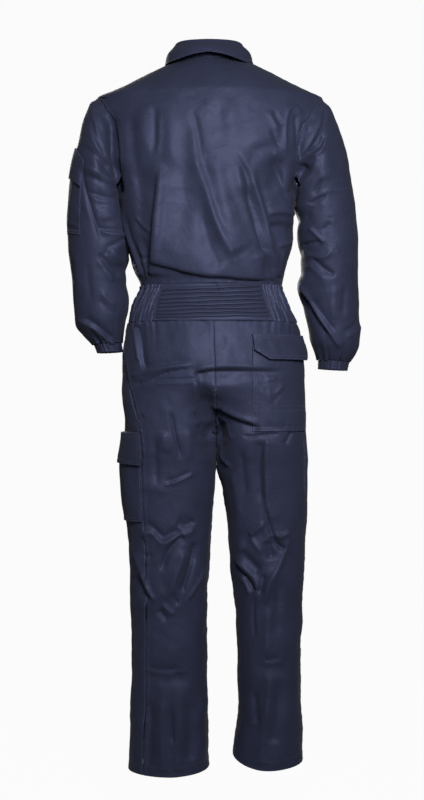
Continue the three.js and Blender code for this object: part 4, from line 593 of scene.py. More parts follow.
# Creases on the hidden front, all in millimetres: a row starts with the width on its left-hand side
CREASES_BEFORE = [
    ("front", [
        (9, 9, -4.5, 1.7, 0.2, 0.3, [(176, -112), (168, -190), (176, -280)]),
        (6, 8, 4, 1.6, 0.2, 0.3, [(158, -120), (146, -205), (150, -300)]),
        (5, 6, -4, 1.6, 0.1, 0.3, [(206, -178), (182, -232), (172, -300)]),
        (4, 5, 3.4, 1.5, 0.1, 0.3, [(207, -196), (190, -240), (186, -296)]),
        (9, 9, -4.5, 1.7, 0.2, 0.3, [(-160, -110), (-155, -190), (-150, -275)]),
        (7, 7, 4, 1.6, 0.2, 0.3, [(-142, -118), (-134, -210), (-130, -310)]),
        (5, 6, -4, 1.6, 0.1, 0.3, [(-190, -180), (-168, -236), (-156, -304)]),
        (4, 5, 3.4, 1.5, 0.1, 0.3, [(-192, -200), (-174, -244), (-166, -290)]),
        (6, 5, -4, 1.7, 0.3, 0.02, [(96, -360), (104, -420), (108, -474)]),
        (5, 5, 3.6, 1.6, 0.3, 0.02, [(112, -380), (116, -430), (118, -474)]),
        (4, 5, -3.4, 1.6, 0.3, 0.02, [(150, -392), (146, -436), (142, -476)]),
        (5, 6, -4, 1.7, 0.3, 0.02, [(-78, -350), (-92, -420), (-100, -474)]),
        (5, 5, 3.6, 1.6, 0.3, 0.02, [(-100, -386), (-108, -430), (-112, -474)]),
        (4, 5, -3.4, 1.6, 0.3, 0.02, [(-142, -400), (-138, -440), (-132, -476)]),
        (7, 5, -3, 1.8, 0.2, 0.2, [(60, -420), (38, -440), (16, -436)]),
        (6, 5, -3, 1.8, 0.2, 0.2, [(-58, -398), (-34, -424), (-10, -428)]),
    ]),
    ("fly", [
        (5, 7, -4.6, 1.5, 0.08, 0.25, [(182, -560), (150, -592), (96, -626), (60, -640)]),
        (5, 5, 3.6, 1.5, 0.08, 0.25, [(184, -582), (146, -614), (100, -640)]),
        (5, 6, -4.4, 1.6, 0.2, 0.1, [(150, -716), (90, -736), (34, -772)]),
        (5, 5, 3.4, 1.6, 0.2, 0.1, [(140, -734), (86, -754), (36, -788)]),
        (6, 7, -4.6, 1.5, 0.08, 0.25, [(-180, -556), (-148, -596), (-98, -622), (-66, -634)]),
        (5, 5, 3.6, 1.5, 0.08, 0.25, [(-184, -590), (-150, -618), (-106, -640)]),
        (5, 6, -4.4, 1.6, 0.2, 0.1, [(-152, -708), (-96, -734), (-42, -776)]),
        (5, 5, 3.4, 1.6, 0.2, 0.1, [(-148, -728), (-92, -756), (-40, -796)]),
    ]),
    ("leg_left", [
        (8, 9, -4.6, 1.7, 0.15, 0.15, [(36, -880), (84, -905), (150, -896)]),
        (9, 7, -4.8, 1.6, 0.15, 0.15, [(20, -1042), (80, -1072), (150, -1064), (176, -1046)]),
        (7, 7, 4.4, 1.6, 0.15, 0.15, [(24, -1060), (84, -1092), (152, -1084)]),
        (7, 8, -4.6, 1.6, 0.15, 0.15, [(26, -1100), (78, -1122), (132, -1114)]),
        (12, 12, -3, 1.9, 0.2, 0.2, [(62, -1160), (58, -1260), (70, -1360)]),
        (11, 12, 3, 1.9, 0.2, 0.1, [(104, -1180), (106, -1320), (100, -1500)]),
        (10, 12, -3, 1.9, 0.2, 0.1, [(138, -1240), (142, -1360), (136, -1500)]),
        (8, 9, -3.6, 1.7, 0.2, 0.2, [(30, -1440), (84, -1462), (150, -1452)]),
    ]),
    ("leg_right", [
        (8, 9, -4.6, 1.7, 0.15, 0.15, [(-186, -890), (-120, -912), (-50, -884)]),
        (8, 9, -4.8, 1.6, 0.15, 0.15, [(-188, -1050), (-120, -1080), (-46, -1062)]),
        (7, 7, 4.4, 1.6, 0.15, 0.15, [(-184, -1074), (-122, -1100), (-54, -1086)]),
        (7, 8, -4.4, 1.6, 0.15, 0.15, [(-160, -1112), (-106, -1130), (-58, -1108)]),
        (12, 12, -3, 1.9, 0.2, 0.2, [(-146, -1160), (-152, -1270), (-144, -1380)]),
        (11, 12, 3, 1.9, 0.2, 0.1, [(-112, -1170), (-110, -1320), (-116, -1470)]),
        (10, 11, -3, 1.9, 0.2, 0.1, [(-76, -1230), (-78, -1350), (-74, -1480)]),
        (8, 9, -3.6, 1.7, 0.2, 0.2, [(-180, -1426), (-120, -1446), (-60, -1432)]),
    ]),
    ("sleeve_left", [
        (5, 6, -4.6, 1.5, 0.1, 0.2, [(204, -196), (236, -230), (262, -300)]),
        (5, 5, 4, 1.5, 0.1, 0.2, [(212, -188), (252, -226), (280, -300)]),
        (5, 6, -5, 1.5, 0.1, 0.15, [(190, -372), (236, -392), (288, -372)]),
        (6, 5, 4.4, 1.5, 0.1, 0.15, [(190, -392), (238, -412), (296, -396)]),
        (5, 6, -5, 1.5, 0.1, 0.15, [(188, -424), (234, -436), (282, -452)]),
        (6, 6, -4, 1.6, 0.15, 0.15, [(190, -470), (230, -500), (276, -540)]),
        (6, 6, 3.4, 1.6, 0.15, 0.15, [(192, -490), (226, -524), (262, -560)]),
    ]),
    ("sleeve_right", [
        (6, 5, -4.6, 1.5, 0.1, 0.2, [(-188, -200), (-222, -236), (-250, -300)]),
        (5, 5, 4, 1.5, 0.1, 0.2, [(-196, -188), (-240, -228), (-270, -296)]),
        (6, 5, -5, 1.5, 0.1, 0.15, [(-186, -376), (-236, -398), (-290, -380)]),
        (5, 6, 4.4, 1.5, 0.1, 0.15, [(-190, -396), (-238, -420), (-298, -404)]),
        (6, 5, -5, 1.5, 0.1, 0.15, [(-186, -430), (-236, -444), (-290, -462)]),
        (6, 6, -4, 1.6, 0.15, 0.15, [(-192, -486), (-240, -520), (-290, -560)]),
        (6, 6, 3.4, 1.6, 0.15, 0.15, [(-200, -506), (-238, -544), (-276, -590)]),
    ]),
    ("cargo_pocket", [
        (8, 8, -2.6, 1.7, 0.2, 0.2, [(120, -880), (150, -920), (160, -960)]),
        (7, 8, 2.4, 1.7, 0.2, 0.2, [(150, -876), (172, -930)]),
    ]),
]


# Forms: the same surfaces as the solids, on any grid of parameters

def stack(x, y, z):
    """Points from their three coordinates, which may be single numbers."""
    return np.stack(np.broadcast_arrays(x, y, z), axis=-1).astype(float)


def fold_lift(folds, x, z):
    """The lift of bowed folds that swell from one end and die out at the other."""
    lift = np.zeros(np.broadcast(x, z).shape)
    for x0, z0, x1, z1, bow, width, height in folds:
        dx, dz = x1 - x0, z1 - z0
        length = math.hypot(dx, dz)
        along = np.clip(((x - x0) * dx + (z - z0) * dz) / length ** 2, 0, 1)
        bend = bow * 4 * along * (1 - along)
        off_x = x - x0 - along * dx - bend * dz / length
        off_z = z - z0 - along * dz + bend * dx / length
        near = np.exp(-(off_x ** 2 + off_z ** 2) / width ** 2)
        lift = lift + height * near * smooth(along, 0, 0.3) * (1 - smooth(along, 0.7, 1))
    return lift


def half_width(side, z):
    """Half the body's width, on its left where side is above 0 and else on its right."""
    return np.where(side > 0, TORSO["left"](z) - MIDDLE(z), MIDDLE(z) - TORSO["right"](z))


def blouse_lift(x, z):
    """The back bulges out over the waist, and steps in under its blouse line."""
    above = z - BLOUSE_LINE(x)
    spread = 1 - smooth(np.abs(x - BLOUSE_MIDDLE_X), 105, 160)
    over = np.exp(-((above / BLOUSE_REACH) ** 2))
    under = 1 - smooth(-above, 0, BLOUSE_STEP)
    return BLOUSE_RISE * spread * np.where(above > 0, over, under)


def torso_point(turn, z):
    """A point of the body's cloth: turn is 0 at the middle of the back and pi at the zip."""
    turn, z = np.broadcast_arrays(np.asarray(turn, float), np.asarray(z, float))
    across, inward = np.sin(turn), np.cos(turn)
    x = MIDDLE(z) + half_width(across, z) * across
    side = TORSO["side"](z)
    depth = np.where(inward >= 0, TORSO["back"](z), TORSO["front"](z)) - side
    y = side + depth * np.abs(inward) ** TORSO["corner"](z)
    # Just under the armhole the side stands out a little to meet the sleeve
    share = np.minimum(1, np.abs(y - side) / ARMHOLE_HALF_DEPTH)
    above = z - ARMHOLE_MIDDLE_Z + ARMHOLE_HALF_HEIGHT * np.sqrt(1 - share ** 2)
    level = np.exp(np.minimum(above, 2) / 6) * (1 - smooth(above, 2, 20))
    flare = UNDERARM_FLARE * level * np.exp(-(((y - side) / UNDERARM_FLARE_DEPTH) ** 2))
    facing = smooth(np.abs(inward), 0.1, 0.5)
    back = fold_lift(BACK_FOLDS, x, z) + blouse_lift(x, z)
    lift = np.where(inward >= 0, back, -fold_lift(FRONT_FOLDS, x, z))
    return stack(x + np.sign(across) * flare, y + lift * facing, z)


def leg_point(name, t, z):
    """A point of a leg: t is 0 at the centre back, 1 at the outside and 2 at the centre front."""
    sign = SIGNS[name]
    leg = LEGS[name]
    outer, inner = leg["outer"](z), leg["inner"](z)
    turn = np.radians(180 * t - 90)
    middle_y = (leg["back"](z) + leg["front"](z)) / 2
    depth = (leg["back"](z) - leg["front"](z)) / 2
    facing = np.cos(turn)
    x = sign * ((outer + inner) / 2 + (outer - inner) / 2 * np.sin(turn))
    lift = np.where(facing >= 0, fold_lift(LEG_FOLDS[name], x, z), 0)
    reach = depth * np.abs(facing) ** LEG_CORNER + lift * smooth(facing, 0.1, 0.6)
    return stack(x, middle_y + np.sign(facing) * reach, z)


def half_point(name, t, z):
    """A point of the seat and one leg: the body's form passes over into the leg's."""
    t, z = np.broadcast_arrays(np.asarray(t, float), np.asarray(z, float))
    sign = SIGNS[name]
    hip = torso_point(sign * t * np.pi / 2, z)
    centre = np.minimum(t, 2 - t)
    end = mix(CROTCH_Z, THIGH_Z, smooth(centre, 0, 0.5))
    share = np.clip((SPLIT_Z - z) / (SPLIT_Z - end), 0, 1)
    ease = mix(share ** 2, smooth(share, 0, 1), np.minimum(1, centre / 0.3))
    point = mix(hip, leg_point(name, t, z), ease[..., None])
    clear = CENTRE_CLEAR * np.maximum(smooth(centre, 0, 0.05), smooth(CROTCH_Z - z, 0, 5))
    limit = sign * MIDDLE(z) + clear
    x = np.where(z < SPLIT_Z, sign * np.maximum(sign * point[..., 0], limit), point[..., 0])
    return stack(x, point[..., 1], point[..., 2])


def column_turn(name, column, z):
    """Columns run from 0 at the centre back by 1 at the outer seam to 2 at the centre front."""
    seam = np.where(z > WAIST_END_Z, 1.0, OUTSEAM[name](z))
    return np.where(column <= 1, column * seam, 2 - (2 - column) * (2 - seam))


def hemmed(name, t, z):
    """Heights below the knee, stretched to reach the slanting hem."""
    low = KNEE_Z + (z - KNEE_Z) * (HEMS[name](t) - KNEE_Z) / (HEM_Z - KNEE_Z)
    return np.where(z > KNEE_Z, z, low)


def trouser_point(name, column, row):
    column, row = np.broadcast_arrays(np.asarray(column, float), np.asarray(row, float))
    t = column_turn(name, column, row)
    return half_point(name, t, hemmed(name, t, row))


def armhole_turn(z, facing):
    """The turn at which the round armhole cuts the back, or the front where facing is below 0."""
    rise = np.clip((z - ARMHOLE_MIDDLE_Z) / ARMHOLE_HALF_HEIGHT, -1, 1)
    offset = ARMHOLE_HALF_DEPTH * np.sqrt(1 - rise ** 2)
    reach = np.where(facing > 0, TORSO["back"](z), TORSO["front"](z)) - TORSO["side"](z)
    quarter = np.arccos(np.minimum(1, offset / np.abs(reach)) ** (1 / TORSO["corner"](z)))
    return np.where(facing > 0, quarter, np.pi - quarter)


def bodice_edge(z, facing):
    """The turn of a bodice piece's outer edge: the armhole, and the side seam above and below it."""
    inside = (z < SHOULDER_Z) & (z > UNDERARM_Z)
    return np.where(inside, armhole_turn(z, facing), np.pi / 2)


def front_turn(sign, z):
    """The turn of a front's inner edge: round the neck, then beside the zip."""
    dip = np.minimum(1, (NECK_Z - z) / NECK_DROP)
    edge = np.maximum(ZIP_HALF, NECK_HALF * np.sqrt(1 - dip ** 2))
    return np.pi - np.arcsin(np.minimum(1, edge / half_width(sign, z)))


def sleeve_ring(name, ring, around):
    """A point of a numbered ring of the sleeve: around is 0 at its outer and pi at its inner side."""
    sleeve = SLEEVES[name]
    sign = SIGNS[name]
    outer = stack(sign * sleeve["outerX"](ring), sleeve["y"](ring), sleeve["outerZ"](ring))
    inner = stack(sign * sleeve["innerX"](ring), sleeve["y"](ring), sleeve["innerZ"](ring))
    centre = (outer + inner) / 2
    depth = sleeve["depth"](ring) * np.sin(around)
    point = centre + (outer - centre) * np.cos(around)[..., None]
    point[..., 1] += depth
    return point


def unit(vectors):
    length = np.linalg.norm(vectors, axis=-1, keepdims=True)
    return vectors / np.maximum(length, 1e-9)


# How far to each side the body's normals are measured: down in millimetres, and round in radians
DOWN_STEP = 0.5
TURN_STEP = 0.01


def body_normal(turn, z):
    down = torso_point(turn, z + DOWN_STEP) - torso_point(turn, z - DOWN_STEP)
    across = torso_point(turn + TURN_STEP, z) - torso_point(turn - TURN_STEP, z)
    return unit(np.cross(down, across))


def armhole_knot(name, around):
    """Points of the armhole, with the body's normals and the ways out into the sleeve."""
    sign = SIGNS[name]
    facing = np.where(np.sin(around) >= -1e-9, 1.0, -1.0)
    z = ARMHOLE_MIDDLE_Z + ARMHOLE_HALF_HEIGHT * np.cos(around)
    turn = sign * armhole_turn(z, facing)
    point = torso_point(turn, z)
    normal = body_normal(turn, z)
    radial = stack(0, -np.sin(around), -np.cos(around))
    along = stack(0, np.cos(around) * ARMHOLE_HALF_DEPTH, -np.sin(around) * 100)
    out = unit(np.cross(along, normal))
    flip = np.sum(out * radial, axis=-1, keepdims=True) < 0
    return point, normal, np.where(flip, -out, out)


def sleeve_point(name, ring, around):
    """A point of the sleeve: ring 0 is the armhole, and a curve leads from it to ring 1."""
    ring, around = np.broadcast_arrays(np.asarray(ring, float), np.asarray(around, float))
    far = sleeve_ring(name, np.maximum(ring, 1), around)
    start, _, out = armhole_knot(name, around)
    end = sleeve_ring(name, np.ones_like(ring), around)
    leave = (sleeve_ring(name, np.full_like(ring, 1.2), around) - end) * 5
    gap = np.linalg.norm(end - start, axis=-1, keepdims=True)
    length = np.linalg.norm(leave, axis=-1, keepdims=True)
    leave = leave / length * np.minimum(length, gap * 1.2)
    t = np.clip(ring, 0, 1)[..., None]
    near = (start * (1 + 2 * t) * (1 - t) ** 2 + out * gap * 0.9 * t * (1 - t) ** 2
            + end * t * t * (3 - 2 * t) + leave * t * t * (t - 1))
    return np.where(ring[..., None] >= 1, far, near)


def cuff_point(name, share, around):
    """A point of the cuff, which starts just inside the sleeve's last ring."""
    sign = SIGNS[name]
    slope_x, slope_z = CUFF_SLOPE[name]
    way = unit(np.array((sign * slope_x, -0.08, slope_z)))
    share, around = np.broadcast_arrays(np.asarray(share, float), np.asarray(around, float))
    rim = sleeve_ring(name, np.full_like(share, CUFF_RING), around)
    centre = (sleeve_ring(name, np.array(CUFF_RING), np.array(0.0))
              + sleeve_ring(name, np.array(CUFF_RING), np.array(np.pi))) / 2
    outward = unit(rim - centre)
    return rim - outward * (0.9 + 2 * share[..., None]) + way * (0.75 + share[..., None] * CUFF_DROP)


# Grids of cloth

# Distances from a sewn edge at which its cloth has lines of points, for the seam's own relief
SEAM_STEPS = (0.0, 1.1, 2.3, 3.8, 5.8, 8.4)


def spaced(length, cell, fine=True):
    """Shares of a length from 0 to 1, a cell apart and closer beside both ends."""
    ends = [v for v in (SEAM_STEPS if fine else SEAM_STEPS[:1]) if v < length / 2 - 1]
    middle = max(1, round((length - 2 * ends[-1]) / cell))
    inner = np.linspace(ends[-1], length - ends[-1], middle + 1)
    marks = np.concatenate([ends[:-1], inner, [length - v for v in ends[:-1]][::-1]])
    return np.unique(np.round(marks / length, 6))


def grid_normals(points, closed=False):
    if closed:
        across = np.roll(points, -1, 1) - np.roll(points, 1, 1)
    else:
        across = np.gradient(points, axis=1)
    down = np.gradient(points, axis=0)
    return unit(np.cross(down, across))


def turned_out(points, centre, closed=False):
    """Normals of a grid of points, on the side that faces away from an upright line through a centre."""
    normals = grid_normals(points, closed)
    out = points - centre
    out[..., 2] = 0
    return normals * np.sign(np.sum(out * normals))


def along_lines(points, axis):
    step = np.linalg.norm(np.diff(points, axis=axis), axis=-1)
    shape = list(step.shape)
    shape[axis] = 1
    return np.concatenate([np.zeros(shape), np.cumsum(step, axis=axis)], axis=axis)


def edge_distances(points, closed=False):
    across = along_lines(points, 1)
    down = along_lines(points, 0)
    far = np.full(points.shape[:2], 1e3)
    return {
        "start": far if closed else across,
        "end": far if closed else across[:, -1:] - across,
        "top": down,
        "bottom": down[-1:] - down,
    }


# Creases

def seen_from_behind(points):
    """Where the camera sees points, on the upright plane through the suit's middle."""
    grow = CAMERA_DISTANCE / (CAMERA_DISTANCE - points[..., 1])
    return points[..., 0] * grow, CAMERA_Z + (points[..., 2] - CAMERA_Z) * grow


def rounded_line(line, per_span=6):
    """A smooth curve through the points of a line, as short straight spans."""
    line = np.array(line, float)
    if len(line) == 2:
        return line
    padded = np.concatenate([[2 * line[0] - line[1]], line, [2 * line[-1] - line[-2]]])
    out = []
    for i in range(len(line) - 1):
        a, b, c, d = padded[i:i + 4]
        for t in np.linspace(0, 1, per_span, endpoint=False):
            out.append(0.5 * (2 * b + (c - a) * t + (2 * a - 5 * b + 4 * c - d) * t ** 2
                              + (3 * b - a - 3 * c + d) * t ** 3))
    return np.array(out + [line[-1]])


def crease_lift(u, v, line, widths, lift, sharp, fade):
    """The lift of one crease at the seen places (u, v)."""
    curve = rounded_line(line)
    reach = CREASE_REACH * max(widths)
    low, high = curve.min(0) - reach, curve.max(0) + reach
    inside = (u > low[0]) & (u < high[0]) & (v > low[1]) & (v < high[1])
    result = np.zeros(u.shape)
    if not inside.any():
        return result
    x, z = u[inside], v[inside]
    best = np.full(x.shape, 1e9)
    along = np.zeros(x.shape)
    side = np.zeros(x.shape)
    lengths = np.linalg.norm(np.diff(curve, axis=0), axis=1)
    total = lengths.sum()
    done = 0.0
    for (ax, az), (bx, bz), length in zip(curve[:-1], curve[1:], lengths):
        dx, dz = (bx - ax) / length, (bz - az) / length
        raw = (x - ax) * dx + (z - az) * dz
        t = np.clip(raw, 0, length)
        distance = np.hypot(x - ax - t * dx, z - az - t * dz)
        nearer = distance < best
        best = np.where(nearer, distance, best)
        along = np.where(nearer, (done + t) / total, along)
        side = np.where(nearer, dx * (z - az) - dz * (x - ax), side)
        done += length
    width = np.where(side > 0, *widths)
    ends = smooth(along, 0, fade[0]) if fade[0] > 0 else 1.0
    ends = ends * ((1 - smooth(along, 1 - fade[1], 1)) if fade[1] > 0 else 1.0)
    result[inside] = lift * np.exp(-(best / width) ** sharp) * ends
    return result


def creases_behind(regions):
    """The creases of some regions that show from behind, in millimetres."""
    for names, gain, rows in CREASES_BEHIND:
        if not set(names.split()) & set(regions):
            continue
        for right, left, lift, sharp, fade_in, fade_out, places in rows:
            steps = [(ORIGIN_PIXEL_X - x, ORIGIN_PIXEL_Y - y) for x, y in places]
            line = [(round(across * PIXEL), round(up * PIXEL)) for across, up in steps]
            widths = (round(right * PIXEL, 1), round(left * PIXEL, 1))
            yield line, widths, round(lift * gain, 1), sharp, (fade_in, fade_out)


def creases_before(regions):
    """The creases of some regions on the hidden front."""
    for name, rows in CREASES_BEFORE:
        if name in regions:
            for left, right, lift, sharp, fade_in, fade_out, line in rows:
                yield line, (left, right), lift, sharp, (fade_in, fade_out)


def crease_field(points, normals, regions):
    """The lift of all creases in the named regions, seen from behind or from the front."""
    lift = np.zeros(points.shape[:2])
    u, v = seen_from_behind(points)
    behind = smooth(normals[..., 1], *FACING)
    for crease in creases_behind(regions):
        lift += behind * crease_lift(u, v, *crease)
    before = smooth(-normals[..., 1], *FACING)
    for crease in creases_before(regions):
        lift += before * crease_lift(points[..., 0], points[..., 2], *crease)
    return lift


# Unevenness of all cloth: size of the waves and their height
BROAD_WAVES = (95, 1.3)
SMALL_WAVES = (34, 0.4)
# A seam dips the cloth at its edge, puckers it, and lifts the double band of a felled one: heights,
# the dip's width, and the distances between which the band rises and falls
SEAM_DIP = 0.9
SEAM_DIP_WIDTH = 1.7
SEAM_PUCKER = 0.45
FELL_LIFT = 0.7
FELL_RISE = (0.9, 2.4)
FELL_FALL = (8.5, 10.5)
PUCKER_WAVES = 5


def unevenness(points, size, seed, waves=14):
    """Smooth waves in all directions, about one size long, from -1 to 1."""
    draw = np.random.default_rng(seed)
    total = np.zeros(points.shape[:2])
    for _ in range(waves):
        way = unit(draw.normal(size=3))
        length = size * draw.uniform(0.7, 1.8)
        total += np.sin(points @ way * (2 * np.pi / length) + draw.uniform(0, 2 * np.pi))
    return total / math.sqrt(waves)


def pucker(run, distance, seed, reach=9.0, size=17.0):
    """Small waves along a seam, dying out away from it."""
    draw = np.random.default_rng(seed)
    wave = np.zeros(run.shape)
    for _ in range(PUCKER_WAVES):
        length = size * draw.uniform(0.6, 1.7)
        wave += np.sin(run * (2 * np.pi / length) + draw.uniform(0, 2 * np.pi))
    return wave / 2.2 * np.exp(-distance / reach)


class Cloth:
    """A grid of points of one piece of cloth, with its outward normals, in millimetres."""

    def __init__(self, points, normals, closed=False):
        self.base = points
        self.points = points.copy()
        self.normals = normals
        self.closed = closed
        self.edges = edge_distances(points, closed)
        self.worn = np.zeros(points.shape[:2])

    def press(self, lift):
        self.points = self.points + self.normals * lift[..., None]

    def crumple(self, regions, seed, amount=1.0):
        """Lays the cloth on the outside of its wall, with its creases and some unevenness."""
        self.press(OUTER + crease_field(self.base, self.normals, regions))
        for offset, (size, height) in enumerate((BROAD_WAVES, SMALL_WAVES)):
            self.press(amount * height * unevenness(self.base, size, seed + offset))

    def groove(self, distance, depth, width):
        """Presses a groove where the distance is 0."""
        self.press(-depth * np.exp(-((distance / width) ** 2)))

    def border(self, *sides):
        """The distance from the nearest of some sides."""
        return np.minimum.reduce([self.edges[side] for side in sides])

    def seam(self, side, kind, seed):
        """Dips the cloth at a sewn edge, and lifts the band of a felled seam beside it."""
        away = self.edges[side]
        run = along_lines(self.base, 0 if side in ("start", "end") else 1)
        lift = -SEAM_DIP * np.exp(-((away / SEAM_DIP_WIDTH) ** 2)) + SEAM_PUCKER * pucker(run, away, seed)
        if kind == "felled":
            lift = lift + FELL_LIFT * (smooth(away, *FELL_RISE) - smooth(away, *FELL_FALL))
        self.press(lift)
        self.worn = np.maximum(self.worn, np.exp(-away / 3.0))

    def renew_normals(self):
        """Takes the normals of the bent cloth, on the same side as before."""
        fresh = grid_normals(self.points, self.closed)
        self.normals = fresh * np.sign(np.sum(fresh * self.normals))


def extended(points, normals, side, lines):
    """Adds lines of points beyond one side: each is (step in from the border, inward, outward)."""
    axis = 1 if side in ("start", "end") else 0
    swapped = side in ("end", "bottom")
    p = np.swapaxes(points, 0, 1) if axis else points
    n = np.swapaxes(normals, 0, 1) if axis else normals
    if swapped:
        p, n = p[::-1], n[::-1]
    beyond = unit(p[0] - p[3])
    added = [p[step] - n[step] * inward + beyond * outward for step, inward, outward in lines]
    p = np.concatenate([np.array(added[::-1]), p])
    n = np.concatenate([np.repeat(n[:1], len(lines), 0), n])
    if swapped:
        p, n = p[::-1], n[::-1]
    return (np.swapaxes(p, 0, 1), np.swapaxes(n, 0, 1)) if axis else (p, n)


# Lines of points beyond a sewn edge: each is (step in from the border, inward, outward)
ALLOWANCE = [(0, 0.9, 0.1), (0, 4.5, -0.5)]
HALF_ALLOWANCE = [(0, 0.8, 0.0), (0, 2.0, -0.2)]


def turning(thick, steps):
    """Lines that turn an edge over and run back inside it."""
    return [(0, 0.4 * thick, 0.3 * thick)] + [(k, thick, 0.0) for k in range(steps)]


def mesh_from(name, points, normals, closed, worn):
    """A mesh of four-sided faces from a grid, with its flat cut as texture coordinates."""
    rows, columns = points.shape[:2]
    spans = columns if closed else columns - 1
    i, j = np.meshgrid(np.arange(rows - 1), np.arange(spans), indexing="ij")
    j1 = (j + 1) % columns
    low, high = i * columns, (i + 1) * columns
    quads = np.stack([low + j, high + j, high + j1, low + j1], -1).reshape(-1, 4)
    flat = points.reshape(-1, 3)
    cross = np.cross(flat[quads[:, 1]] - flat[quads[:, 0]], flat[quads[:, 3]] - flat[quads[:, 0]])
    if np.sum(cross * normals.reshape(-1, 3)[quads[:, 0]]) < 0:
        quads = quads[:, ::-1]
    mesh = bpy.data.meshes.new(name)
    mesh.vertices.add(len(flat))
    mesh.vertices.foreach_set("co", (flat * MM).astype(np.float32).ravel())
    mesh.loops.add(quads.size)
    mesh.loops.foreach_set("vertex_index", quads.astype(np.int32).ravel())
    mesh.polygons.add(len(quads))
    mesh.polygons.foreach_set("loop_start", np.arange(0, quads.size, 4, dtype=np.int32))
    mesh.update(calc_edges=True)
    mesh.validate()
    mesh.shade_smooth()
    across = along_lines(points, 1).mean(0)
    down = along_lines(points, 0).mean(1)
    turn = (across[-1] + across[1] - across[0]) if closed else 0
    layer = mesh.uv_layers.new(name="Cut")
    at_u = np.repeat(across[None], rows, 0).reshape(-1)[quads]
    at_v = np.repeat(down[:, None], columns, 1).reshape(-1)[quads]
    if closed:
        wraps = (at_u.max(1) - at_u.min(1)) > turn / 2
        at_u = np.where(wraps[:, None] & (at_u < turn / 2), at_u + turn, at_u)
    layer.data.foreach_set("uv", (np.stack([at_u, at_v], -1) * MM).astype(np.float32).ravel())
    attribute = mesh.attributes.new("worn", "FLOAT", "POINT")
    attribute.data.foreach_set("value", worn.astype(np.float32).ravel())
    return mesh


def put(name, mesh, material):
    """Makes the object of a mesh, which stays with the suit's one body."""
    piece = bpy.data.objects.new(name, mesh)
    bpy.context.scene.collection.objects.link(piece)
    mesh.materials.append(material)
    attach(piece, "root")
    return piece


def make_cloth(name, cloth, turnings, material=None):
    """Turns the edges of a cloth in, and makes its object."""
    points, normals = cloth.points, cloth.normals
    worn = cloth.worn
    for side in SIDES:
        lines = turnings.get(side)
        if not lines:
            continue
        points, normals = extended(points, normals, side, lines)
        pad = [(0, 0), (0, 0)]
        axis = 1 if side in ("start", "end") else 0
        pad[axis] = (len(lines), 0) if side in ("start", "top") else (0, len(lines))
        worn = np.pad(worn, pad, mode="edge")
    mesh = mesh_from(name + "_cloth", points, normals, cloth.closed, worn)
    piece = put(name + "_cloth", mesh, material or twill())
    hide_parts(name)


# Stitches

def inset(cloth, side, distance):
    """The line on a cloth at a distance in from one of its sides, with normals."""
    axis = 1 if side in ("start", "end") else 0
    p = np.swapaxes(cloth.points, 0, 1) if axis else cloth.points
    n = np.swapaxes(cloth.normals, 0, 1) if axis else cloth.normals
    if side in ("end", "bottom"):
        p, n = p[::-1], n[::-1]
    run = along_lines(p, 0)
    count = p.shape[1]
    out_p, out_n = np.zeros((count, 3)), np.zeros((count, 3))
    for k in range(count):
        i = int(np.clip(np.searchsorted(run[:, k], distance) - 1, 0, len(run) - 2))
        t = (distance - run[i, k]) / max(run[i + 1, k] - run[i, k], 1e-6)
        out_p[k] = mix(p[i, k], p[i + 1, k], t)
        out_n[k] = mix(n[i, k], n[i + 1, k], t)
    return out_p, unit(out_n)


def line_run(line):
    """Lengths along a line of points from its first one."""
    return np.concatenate([[0], np.cumsum(np.linalg.norm(np.diff(line, axis=0), axis=1))])


def sampled(marks, run, values):
    """The values of a line of points, each three numbers, at some lengths along it."""
    return np.stack([np.interp(marks, run, values[:, k]) for k in range(3)], -1)


# Corners of a stitch: along it, across it and up, in shares of its half length, half width and height
STITCH_CORNERS = [
    (-1, 0, -0.25), (-0.55, -1, -0.25), (0.55, -1, -0.25), (1, 0, -0.25),
    (0.55, 1, -0.25), (-0.55, 1, -0.25), (-0.5, 0, 1), (0.5, 0, 1),
]
STITCH_HEIGHT = 0.28
FELLED_ROWS = (2.2, 8.2)
PLAIN_ROW = (2.2,)
POCKET_ROWS = (2.6, 8.6)


def stitches_along(points, normals):
    """Small thread bumps along a line: each a low ridge of eight corners."""
    pitch = sizes().stitch_pitch
    half_length, half_thread = sizes().stitch_length / 2, sizes().stitch_width / 2
    run = line_run(points)
    marks = np.arange(pitch * 0.5, run[-1] - pitch * 0.4, pitch)
    at = sampled(marks, run, points)
    up = unit(sampled(marks, run, normals))
    way = unit(sampled(marks + 1, run, points) - at + 1e-9)
    cross = unit(np.cross(up, way))
    corners = []
    for a, b, c in STITCH_CORNERS:
        corners.append(at + way * (a * half_length) + cross * (b * half_thread) + up * (c * STITCH_HEIGHT))
    return np.stack(corners, 1)


STITCH_FACES = [(0, 1, 6), (1, 2, 7, 6), (2, 3, 7), (3, 4, 7), (4, 5, 6, 7), (5, 0, 6)]


def stitch_object(name, rows):
    """One object for the stitch rows of a piece."""
    corners = np.concatenate(rows)
    base = np.arange(len(corners)) * len(STITCH_CORNERS)
    faces = [tuple(int(b + k) for k in face) for face in STITCH_FACES for b in base]
    mesh = bpy.data.meshes.new(name)
    mesh.from_pydata((corners.reshape(-1, 3) * MM).tolist(), [], faces)
    mesh.shade_smooth()
    material = shared_material("Navy spun polyester thread", thread_surface, colours().thread)
    put(name, mesh, material)


def seam_rows(cloth, sides):
    """Stitch rows beside the sides of a cloth: sides gives their distances in from each."""
    rows = []
    for side, distances in sides.items():
        for distance in distances:
            points, normals = inset(cloth, side, distance)
            if cloth.closed:
                points, normals = np.vstack([points, points[:1]]), np.vstack([normals, normals[:1]])
            rows.append(stitches_along(points, normals))
    return rows


# Materials

def linear(code):
    """An sRGB hex value as linear red, green, blue and alpha."""
    parts = [int(code[i:i + 2], 16) / 255 for i in (1, 3, 5)]
    turned = [v / 12.92 if v <= 0.04045 else ((v + 0.055) / 1.055) ** 2.4 for v in parts]
    return (*turned, 1.0)


